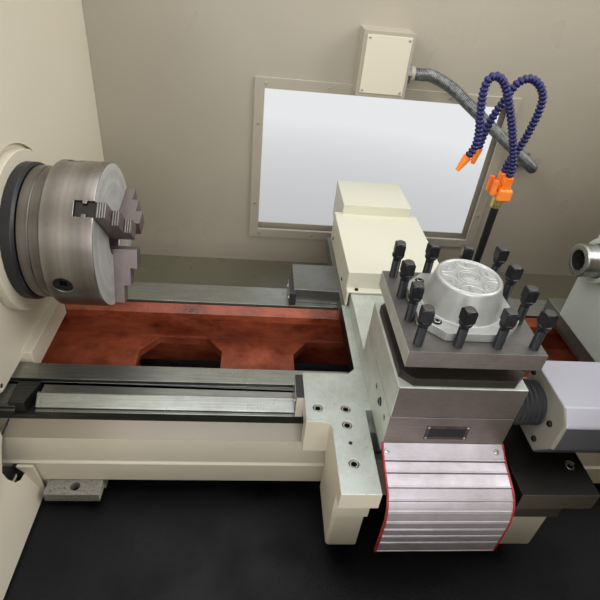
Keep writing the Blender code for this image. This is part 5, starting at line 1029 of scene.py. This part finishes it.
# The slat cover hangs from the front of the cross slide and keeps chips off the screw. Its extruded
# aluminium slats are hinged on a cloth strip between red plastic edges, and two screws hold the first.
SLAT_PATH = [(-0.3223, -0.148), (-0.338, -0.158), (-0.356, -0.165), (-0.374, -0.170), (-0.392, -0.177),
             (-0.405, -0.191), (-0.411, -0.210), (-0.413, -0.230), (-0.413, -0.298)]
SLAT_JOINTS = (0.0, 0.0275, 0.0453, 0.067, 0.0862, 0.103, 0.1228, 0.1413, 0.1598, 0.1783)
SLAT_LEFT, SLAT_RIGHT, SLAT_THICK = 0.4515, 0.6445, 0.0036
EDGE_WIDTH = 0.0026
slat_line = smooth_route([(0, y, z) for y, z in SLAT_PATH], 400)
slat_run = [0.0]
for one, two in zip(slat_line, slat_line[1:]):
    slat_run.append(slat_run[-1] + (two - one).length)
joints = [joint for joint in SLAT_JOINTS if joint < slat_run[-1] - 0.006] + [slat_run[-1]]


def out_of_slats(run):
    """Gives the way out of the cover's face, to the front, where its path goes along run."""
    out = Vector((0, run.z, -run.y))
    return -out if out.y > 0 else out


def along_slats(length):
    """Gives the place at a length down the slat cover's path, and the way out of its face."""
    k = min(max(sum(1 for passed in slat_run if passed < length), 1), len(slat_line) - 1)
    share = (length - slat_run[k - 1]) / max(slat_run[k] - slat_run[k - 1], 1e-9)
    run = (slat_line[k] - slat_line[k - 1]).normalized()
    return slat_line[k - 1].lerp(slat_line[k], share), out_of_slats(run)


slat_finish = ground("slat_finish", tint(206, 199, 204), tint(182, 175, 181), "x", 0.36, metallic=0.6,
                     scale=40)
edge_red = moulded("edge_red", tint(142, 24, 30), tint(168, 44, 48), 0.4)
shape = bmesh.new()
for joint, following in zip(joints, joints[1:]):
    start, end = along_slats(joint)[0], along_slats(following)[0]
    run = (end - start).normalized()
    out = out_of_slats(run)
    width = (end - start).length
    section = ((0.0005, -SLAT_THICK), (0.0005, -0.0008), (0.0011, -0.0002), (width * 0.5, 0.0002),
               (width - 0.0036, -0.0001), (width - 0.0030, 0.0007), (width - 0.0016, 0.0008),
               (width - 0.0008, 0.0001), (width - 0.0006, -0.0010), (width - 0.0006, -SLAT_THICK))
    outline = [start + run * along + out * proud for along, proud in section]
    prism(shape, [(point.y, point.z) for point in outline], "x", SLAT_LEFT + 0.0022, SLAT_RIGHT - 0.0022)
CLOTH_STEPS = 60
# The two red edges and the cloth between them: left, right, how far out its face and back lie, finish.
for low, high, face, back, which in ((SLAT_LEFT, SLAT_LEFT + EDGE_WIDTH, 0.0009, -0.0042, 1),
                                     (SLAT_RIGHT - EDGE_WIDTH, SLAT_RIGHT, 0.0009, -0.0042, 1),
                                     (SLAT_LEFT + 0.002, SLAT_RIGHT - 0.002, -0.0020, -0.0034, 2)):
    outer, inner = [], []
    for k in range(CLOTH_STEPS + 1):
        at, out = along_slats(slat_run[-1] * k / CLOTH_STEPS)
        outer.append(((at + out * face).y, (at + out * face).z))
        inner.append(((at + out * back).y, (at + out * back).z))
    prism(shape, outer + inner[::-1], "x", low, high, 0, which)
at, out = along_slats(0.0125)
for x in (0.4585, 0.6310):
    pan_screw(shape, spot(x, at.y, at.z), out, 0.0044, 3)
fitted("slat_curtain", shape, [slat_finish, edge_red, wiper_rubber, zinc_screw], "slide", "slat_aluminium",
       "slat_cover", angle=25)


# The four-way turret head: a ground slab over a flange, with the tool slot between them. Twelve square
# head screws in black oxide stand round its edge and press the tools down.
head_steel = ground("head_steel", tint(156, 146, 140), tint(128, 119, 114), "x", 0.34, metallic=0.7,
                    scale=30)
# A paler copy of the head's steel for its left side: painted highlight.
head_lit_side = ground("head_lit_side", tint(206, 211, 200), tint(176, 181, 171), "y", 0.38, metallic=0.25, scale=30)
# A darker copy of the head's steel for its top faces: a painted dark reflection.
head_top_dark_reflection = ground("head_top_dark_reflection", tint(128, 124, 120), tint(98, 95, 92), "x", 0.4, metallic=0.6, scale=30)
# A darker copy of the head's steel for the flange under the slab: painted shade from the slab above it.
flange_shaded = ground("flange_shaded", tint(84, 78, 73), tint(62, 58, 54), "x", 0.36, metallic=0.7, scale=30)
screw_top = ground("screw_top", tint(104, 101, 98), tint(58, 56, 54), "x", 0.42, metallic=0.6, scale=60)
HEAD_FINISHES = [head_steel, head_lit_side, black_oxide, head_top_dark_reflection, flange_shaded, screw_top]
STEEL, SIDE, OXIDE, TOP, FLANGE, WORN_TOP = range(6)
TURRET_X, TURRET_Y = 0.548, -0.227
SLAB_HALF, FLANGE_HALF, FLANGE_CORNER, CORE_HALF = 0.096, 0.092, 0.018, 0.056


def eight_sided(half, corner):
    """Gives the outline of a square plate on the turret's axis whose corners are cut off."""
    near, far = half, half - corner
    return [(TURRET_X + u, TURRET_Y + v) for u, v in (
        (-near, -far), (-far, -near), (far, -near), (near, -far),
        (near, far), (far, near), (-far, near), (-near, far))]


shape = bmesh.new()
block(shape, (TURRET_X - SLAB_HALF, TURRET_Y - SLAB_HALF, 0.010),
      (TURRET_X + SLAB_HALF, TURRET_Y + SLAB_HALF, 0.038), 0.0011)
block(shape, (TURRET_X - CORE_HALF, TURRET_Y - CORE_HALF, -0.0257),
      (TURRET_X + CORE_HALF, TURRET_Y + CORE_HALF, 0.0115))
prism(shape, eight_sided(FLANGE_HALF, FLANGE_CORNER), "z", -0.0297, -0.0157, 0.0009, FLANGE)
shape.normal_update()
for face in shape.faces:
    if face.material_index == STEEL:
        if face.normal.x < -0.7:
            face.material_index = SIDE
        elif face.normal.z > 0.7:
            face.material_index = TOP
SCREW_RING = SLAB_HALF - 0.015
THREAD_FOOT, THREAD_PITCH, THREAD_TURNS = 0.0380, 0.0019, 17
screw = [(0, -0.001), (0.0050, -0.001), (0.0058, 0.0005), (0.0058, 0.0378)]
for turn in range(THREAD_TURNS):
    root = THREAD_FOOT + THREAD_PITCH * turn
    screw += [(0.0057, root), (0.0066, root + THREAD_PITCH / 2)]
screw += [(0.0064, 0.0712), (0.0068, 0.0722), (0.0090, 0.0752), (0.0094, 0.0766), (0.0094, 0.0790),
          (0.0106, 0.0800, 4), (0.0112, 0.0812, 4), (0.0112, 0.0958, 4), (0.0104, 0.0974, 4),
          (0.0076, 0.0988), (0.0066, 0.0997), (0.0040, 0.1000), (0, 0.1000)]
top_band = len(screw) - 2
for side in range(4):
    spin = Matrix.Rotation(math.radians(90 * side), 2)
    for k in range(3):
        place = spin @ Vector((-SCREW_RING + 0.055 * k, -SCREW_RING))
        tightened = math.radians(45 + (17 * (3 * side + k) + 7) % 31 - 15)
        spun(shape, screw, spot(TURRET_X + place.x, TURRET_Y + place.y, 0), (0, 0, 1), 24, OXIDE, tightened,
             worn={top_band: WORN_TOP, top_band - 1: WORN_TOP, top_band - 2: WORN_TOP})
fitted("tool_turret", shape, HEAD_FINISHES, "turret", "turret_steel", "turret_head")


# The turret's cap is a cast aluminium bell on an eight-sided flange, blasted and painted silver. Its top
# has a thick round lip, six curved ribs round two rings and a boss, and a plain number in each field.
cap_silver, links, shader = blank_finish("cap_silver", 0.38, 0.45)
blast = grain(cap_silver, 900, detail=3)
cast = grain(cap_silver, 40, detail=5)
links.new(shades(cap_silver, cast, (0.3, tint(164, 165, 161)), (0.7, tint(182, 183, 179))),
          shader.inputs["Base Color"])
links.new(span(cap_silver, blast, 0.32, 0.46), shader.inputs["Roughness"])
relief(cap_silver, blast, 0.18, 0.0002)
CAP_BASE, CAP_FLANGE_TOP, CAP_FLOOR = 0.0383, 0.0523, 0.0950
CAP_FLANGE_HALF, CAP_FLANGE_CORNER = 0.073, 0.032
LIP_INSIDE, RIB_CIRCLE, RIB_BEND, CAP_RIB_RADIUS = 0.0404, 0.0400, 0.0168, 0.0014
DIGIT_HEIGHT, DIGIT_SHARE = 0.0130, 0.80
shape = bmesh.new()
prism(shape, eight_sided(CAP_FLANGE_HALF, CAP_FLANGE_CORNER), "z", CAP_BASE, CAP_FLANGE_TOP, 0.0016)
spun(shape, [(0, CAP_FLANGE_TOP - 0.004), (0.0600, CAP_FLANGE_TOP - 0.004), (0.0600, CAP_FLANGE_TOP),
             (0.0582, CAP_FLANGE_TOP + 0.0006), (0.0572, CAP_FLANGE_TOP + 0.0026), (0.0480, 0.0900),
             (0.0474, 0.0935), (0.0466, 0.0958), (0.0452, 0.0973), (0.0434, 0.0979), (0.0418, 0.0974),
             (0.0408, 0.0962), (0.0402, CAP_FLOOR), (0, CAP_FLOOR)],
     spot(TURRET_X, TURRET_Y, 0), (0, 0, 1), 72)
for k in range(6):
    turn = math.radians(60 * k + 18)
    centre = Vector((math.cos(turn), math.sin(turn))) * RIB_CIRCLE
    arc = []
    for step in range(25):
        a = turn + math.pi + math.radians(-96 + 8 * step)
        point = centre + Vector((math.cos(a), math.sin(a))) * RIB_BEND
        if point.length < LIP_INSIDE:
            arc.append(spot(TURRET_X + point.x, TURRET_Y + point.y, CAP_FLOOR + 0.0002))
    piped(shape, arc, [CAP_RIB_RADIUS] * len(arc), 8)
    digit = bpy.data.curves.new(f"digit_{k + 1}", "FONT")
    digit.body = str(k + 1)
    digit.size = DIGIT_HEIGHT
    digit.extrude = 0.0008
    digit.bevel_depth = 0.0004
    digit.align_x, digit.align_y = "CENTER", "CENTER"
    holder = bpy.data.objects.new(f"digit_{k + 1}", digit)
    bpy.context.scene.collection.objects.link(holder)
    stamped = bpy.data.meshes.new_from_object(holder.evaluated_get(bpy.context.evaluated_depsgraph_get()))
    at = spot(TURRET_X + centre.x * DIGIT_SHARE, TURRET_Y + centre.y * DIGIT_SHARE, CAP_FLOOR + 0.0003)
    stamped.transform(Matrix.Translation(at))
    shape.from_mesh(stamped)
    bpy.data.objects.remove(holder)
    bpy.data.curves.remove(digit)
    bpy.data.meshes.remove(stamped)
for face in shape.faces:
    face.material_index = 0
for radius in (0.0112, 0.0160):
    spun(shape, [(radius - 0.0013, CAP_FLOOR - 0.0004), (radius + 0.0013, CAP_FLOOR - 0.0004),
                 (radius + 0.0011, CAP_FLOOR + 0.0010), (radius, CAP_FLOOR + 0.0015),
                 (radius - 0.0011, CAP_FLOOR + 0.0010)],
         spot(TURRET_X, TURRET_Y, 0), (0, 0, 1), 48, loop=True)
spun(shape, [(0, CAP_FLOOR - 0.001), (0.0085, CAP_FLOOR - 0.001), (0.0082, CAP_FLOOR + 0.0006),
             (0.0060, CAP_FLOOR + 0.0013), (0, CAP_FLOOR + 0.0016)],
     spot(TURRET_X, TURRET_Y, 0), (0, 0, 1), 32)
for u in (-0.0495, 0.0495):
    for v in (-0.0495, 0.0495):
        at = spot(TURRET_X + u, TURRET_Y + v, CAP_FLANGE_TOP)
        spun(shape, [(0.0050, 0.0002), (0.0066, 0.0002), (0.0068, 0.0010), (0.0052, 0.0010)],
             at, (0, 0, 1), 24, 1, loop=True)
        socket_screw(shape, at, (0, 0, 1), 0.0048, 0.0026, 1, worn=2)
fitted("turret_bell", shape, [cap_silver, black_oxide, zinc_screw], "turret", "cast_aluminium", "turret_cap")


# The tailstock slides on the bed's ways, with its quill, handwheel and two clamp levers. Its casting is
# painted in grey green, and the ground iron base under it is held down by hexagon bolts.
tail_grey = enamel("tail_grey", tint(190, 195, 187), tint(176, 182, 173), 0.34)
shaped("tailstock_base", "tail_base", [saddle_rear], 0.001)
shaped("tailstock_body", "tail_casting", [tail_grey], 0.002)
shaped("quill", "tail_quill", [spindle_turned], 0.0006)
GRIP_LEFT, GRIP_FOOT = 1.2755, 0.06
shaped("handwheel", "tail_wheel", [cap_silver, satin_black], 0.001,
       lambda at, normal: 1 if at.x > GRIP_LEFT and at.z > GRIP_FOOT else 0)
shaped("quill_lock", "lock_lever", [black_oxide], 0.0008)
shaped("tail_clamp", "clamp_lever", [black_oxide], 0.0008)
WASHER = [(0.006, 0), (0.0115, 0), (0.0115, 0.002), (0.006, 0.002)]
BOLT_HEAD = [(0, 0.002), (0.0098, 0.002, 6), (0.0098, 0.0085, 6), (0.0088, 0.0095, 6), (0, 0.0095)]
shape = bmesh.new()
for y in (-0.034, 0.034):
    for z in (-0.034, 0.034):
        socket_screw(shape, spot(1.230, y, z), (1, 0, 0), 0.0058, 0.0060)
for x in (0.975, 1.165):
    spun(shape, WASHER, spot(x, 0.088, -0.174), (0, 0, 1), 24, loop=True)
    spun(shape, BOLT_HEAD, spot(x, 0.088, -0.174), (0, 0, 1), 24)
fitted("tail_bolts", shape, [black_oxide], "tailstock", "black_oxide")
shape = bmesh.new()
spun(shape, [(0, -0.001), (0.0060, -0.001), (0.0060, 0.0030), (0.0048, 0.0045), (0.0048, 0.0080),
             (0.0030, 0.0095), (0, 0.0098)], spot(1.120, 0.0, 0.072), (0, 0, 1), 20)
fitted("oil_cup", shape, [brass], "tailstock", "spindle_steel")


# The sliding door is a folded sheet frame, painted as the case is, with a glazed window in a rubber
# gasket. It hangs on rollers and is drawn by a black bar handle.
DOOR_FRONT, GASKET = -0.579, 0.011
WINDOW_LEFT, WINDOW_FOOT, WINDOW_RIGHT, WINDOW_TOP = 0.810, -0.0852, 1.399, 0.4332
shaped("door", "sliding_door", [cream_enamel, satin_black], 0.002,
       lambda at, normal: 1 if at.y < DOOR_FRONT - 0.0015 else 0)
window_glass, links, shader = blank_finish("window_glass", 0.03, Transmission_Weight=1.0, IOR=1.45)
smudge = grain(window_glass, 4, detail=3)
links.new(shades(window_glass, smudge, (0.3, tint(240, 246, 244)), (0.7, tint(248, 251, 250))),
          shader.inputs["Base Color"])
links.new(span(window_glass, smudge, 0.01, 0.05), shader.inputs["Roughness"])
shaped("door_window", "door_pane", [window_glass], 0.001)
shape = bmesh.new()
left, right = WINDOW_LEFT + 0.002, WINDOW_RIGHT - 0.002
foot, top = WINDOW_FOOT + 0.002, WINDOW_TOP - 0.002
for x_low, z_low, x_high, z_high in (
        (WINDOW_LEFT - GASKET, WINDOW_FOOT - GASKET, WINDOW_RIGHT + GASKET, foot),
        (WINDOW_LEFT - GASKET, top, WINDOW_RIGHT + GASKET, WINDOW_TOP + GASKET),
        (WINDOW_LEFT - GASKET, foot, left, top),
        (right, foot, WINDOW_RIGHT + GASKET, top)):
    block(shape, (x_low, DOOR_FRONT - 0.0025, z_low), (x_high, DOOR_FRONT + 0.0005, z_high), 0.001)
fitted("door_gasket", shape, [belt_rubber], "door", "black_plastic")


# The control panel hangs on a hinge at the front of the case. Its enamelled sheet box holds a screen
# behind dark glass, bare moulded keys, a feed knob with marks round it, two buttons and the stop knob.
PANEL_FACE = -0.670
panel_grey = enamel("panel_grey", tint(74, 77, 82), tint(62, 65, 70), 0.42)


def panel_case_face(at, normal):
    """Says which finish a face of the panel's case has: black in its shallow recesses, cream elsewhere."""
    in_recess = PANEL_FACE + 0.002 < at.y < PANEL_FACE + 0.006
    return 1 if in_recess and normal.y < -0.9 else 0


shaped("control_panel", "panel_case", [cream_enamel, satin_black], 0.002, panel_case_face)
screen_glass, links, shader = blank_finish("screen_glass", 0.12, Coat_Weight=0.6)
haze = grain(screen_glass, 8, detail=4)
links.new(shades(screen_glass, haze, (0.3, tint(20, 25, 32)), (0.7, tint(30, 37, 46))),
          shader.inputs["Base Color"])
links.new(span(screen_glass, haze, 0.08, 0.18), shader.inputs["Roughness"])
# The screen's frame and its dark glass, the plate under the keys and the plate under the knobs.
shape = bmesh.new()
block(shape, (-0.6295, PANEL_FACE - 0.0016, 0.2405), (-0.4005, PANEL_FACE + 0.0040, 0.4395), 0.0012)
block(shape, (-0.6150, PANEL_FACE - 0.0024, 0.2560), (-0.4150, PANEL_FACE - 0.0010, 0.4250), 0.0006, 1)
block(shape, (-0.3900, PANEL_FACE - 0.0014, 0.1750), (-0.2440, PANEL_FACE + 0.0010, 0.4500), 0.0010)
block(shape, (-0.6560, PANEL_FACE - 0.0004, 0.0500), (-0.2440, PANEL_FACE + 0.0010, 0.1650), 0.0008)
fitted("panel_plates", shape, [panel_grey, screen_glass], "panel", "black_plastic")
key_cream = moulded("key_cream", tint(206, 203, 192), tint(218, 215, 206), 0.44)
key_amber = moulded("key_amber", tint(206, 150, 44), tint(220, 168, 66), 0.44)
KEY_SIZE = 0.0215
shape = bmesh.new()
for row in range(9):
    for column in range(5):
        x, z = -0.3815 + 0.0270 * column, 0.1850 + 0.0285 * row
        amber = row == 0 or (row == 8 and column > 2)
        block(shape, (x, PANEL_FACE - 0.0045, z), (x + KEY_SIZE, PANEL_FACE - 0.0008, z + KEY_SIZE),
              0.0012, 1 if amber else 0)
for column in range(7):
    x = -0.6270 + 0.0330 * column
    block(shape, (x, PANEL_FACE - 0.0040, 0.1800), (x + 0.0240, PANEL_FACE + 0.0005, 0.1980), 0.0012)
fitted("panel_keys", shape, [key_cream, key_amber], "panel", "cream_paint")
knob_black = moulded("knob_black", tint(26, 26, 28), tint(40, 40, 42), 0.42)
knob_red = moulded("knob_red", tint(196, 24, 20), tint(214, 44, 36), 0.32)
knob_green = moulded("knob_green", tint(22, 130, 58), tint(36, 150, 74), 0.32)
collar_yellow = moulded("collar_yellow", tint(226, 188, 36), tint(236, 204, 74), 0.4)
shaped("stop_knob", "stop_cap", [knob_red], 0.002, segments=3)
shaped("feed_knob", "feed_dial", [knob_black], 0.001)
shaped("start_button", "start_cap", [knob_green], 0.001)
shaped("hold_button", "hold_cap", [knob_red], 0.001)
STOP_X, DIAL_X, START_X, HOLD_X, KNOB_LINE = -0.31, -0.42, -0.60, -0.53, 0.12
MARK_RING = 0.0225
MARK_HALF = Vector((0.0006, 0.0004, 0.0006))
shape = bmesh.new()
for x, bore, radius, which in ((STOP_X, 0.0210, 0.0275, 0), (DIAL_X, 0.0155, 0.0260, 1),
                               (START_X, 0.0128, 0.0165, 1), (HOLD_X, 0.0128, 0.0165, 1)):
    spun(shape, [(bore, 0.0), (radius, 0.0), (radius, 0.0018), (radius - 0.0012, 0.0026), (bore, 0.0026)],
         spot(x, PANEL_FACE - 0.0002, KNOB_LINE), (0, -1, 0), 36, which, loop=True)
for k in range(11):
    a = math.radians(-60 + 30 * k)
    across, up = MARK_RING * math.cos(a), MARK_RING * math.sin(a)
    mark = Vector((DIAL_X + across, PANEL_FACE - 0.0030, KNOB_LINE + up))
    block(shape, mark - MARK_HALF, mark + MARK_HALF, 0, 2)
fitted("knob_collars", shape, [collar_yellow, zinc_screw, key_cream], "panel", "black_plastic")


# The floor, the pale backdrop and four soft lamps of a studio. Far from the machine the floor takes the
# colour of the backdrop, and near it the floor keeps the machine's shadow.
floor_mesh = bpy.data.meshes.new("studio_floor")
FLOOR_REACH = 14
FADE_START, FADE_END = 1.6, 4.5
BACKDROP = (0.80, 0.81, 0.82, 1)
floor_mesh.from_pydata([(-FLOOR_REACH, -FLOOR_REACH, 0), (FLOOR_REACH, -FLOOR_REACH, 0),
                        (FLOOR_REACH, FLOOR_REACH, 0), (-FLOOR_REACH, FLOOR_REACH, 0)], [], [(0, 1, 2, 3)])
floor = bpy.data.objects.new("studio_floor", floor_mesh)
bpy.context.scene.collection.objects.link(floor)
floor_pale, links, shader = blank_finish("floor_pale", 0.8)
links.new(shades(floor_pale, grain(floor_pale, 2), (0.2, (0.60, 0.60, 0.595)), (0.8, (0.63, 0.63, 0.625))),
          shader.inputs["Base Color"])


def seen_directly(nodes, links):
    """Tells whether a ray comes from the camera, or through glass, or off a glossy surface."""
    ray = nodes.new("ShaderNodeLightPath")
    either = nodes.new("ShaderNodeMath")
    either.operation = "MAXIMUM"
    links.new(ray.outputs["Is Camera Ray"], either.inputs[0])
    links.new(ray.outputs["Is Transmission Ray"], either.inputs[1])
    any_ray = nodes.new("ShaderNodeMath")
    any_ray.operation = "MAXIMUM"
    links.new(either.outputs["Value"], any_ray.inputs[0])
    links.new(ray.outputs["Is Glossy Ray"], any_ray.inputs[1])
    return any_ray.outputs["Value"]


nodes = floor_pale.node_tree.nodes
place = nodes.new("ShaderNodeTexCoord")
away = nodes.new("ShaderNodeVectorMath")
away.operation = "LENGTH"
links.new(place.outputs["Object"], away.inputs[0])
far_off = span(floor_pale, away.outputs["Value"], 0.0, 1.0, FADE_START, FADE_END)
both = nodes.new("ShaderNodeMath")
both.operation = "MULTIPLY"
links.new(far_off, both.inputs[0])
links.new(seen_directly(nodes, links), both.inputs[1])
glow = nodes.new("ShaderNodeEmission")
glow.inputs["Color"].default_value = BACKDROP
blend = nodes.new("ShaderNodeMixShader")
links.new(both.outputs["Value"], blend.inputs["Fac"])
links.new(shader.outputs["BSDF"], blend.inputs[1])
links.new(glow.outputs["Emission"], blend.inputs[2])
links.new(blend.outputs["Shader"], nodes["Material Output"].inputs["Surface"])
floor_mesh.materials.append(floor_pale)
world = bpy.data.worlds.new("studio")
bpy.context.scene.world = world
world.use_nodes = True
nodes, links = world.node_tree.nodes, world.node_tree.links
plain = nodes["Background"]
plain.inputs["Color"].default_value = (0.94, 0.96, 1.0, 1)
plain.inputs["Strength"].default_value = 0.38
white = nodes.new("ShaderNodeBackground")
white.inputs["Color"].default_value = BACKDROP
mixed = nodes.new("ShaderNodeMixShader")
links.new(seen_directly(nodes, links), mixed.inputs["Fac"])
links.new(plain.outputs["Background"], mixed.inputs[1])
links.new(white.outputs["Background"], mixed.inputs[2])
links.new(mixed.outputs["Shader"], nodes["World Output"].inputs["Surface"])
# Each lamp: its name, where it stands, what it is aimed at, its two sides in metres, its watts.
for name, at, aim, size, watts in (
        ("ceiling_light", (0.3, 0.3, 3.6), (0.2, 0.0, 1.0), (3.2, 1.8), 36),
        ("front_light", (-0.3, -3.4, 2.7), (-0.1, 0.0, 0.9), (2.8, 2.0), 78),
        ("left_light", (-2.3, -1.0, 3.2), (0.5, 0.1, 1.0), (1.6, 1.6), 56),
        ("right_light", (2.5, -0.8, 3.0), (-0.2, 0.1, 1.0), (1.6, 1.6), 60)):
    lamp = bpy.data.lights.new(name, "AREA")
    lamp.shape = "RECTANGLE"
    lamp.size, lamp.size_y = size
    lamp.energy = watts
    holder = bpy.data.objects.new(name, lamp)
    bpy.context.scene.collection.objects.link(holder)
    holder.location = at
    holder.rotation_euler = (Vector(aim) - Vector(at)).to_track_quat("-Z", "Y").to_euler()
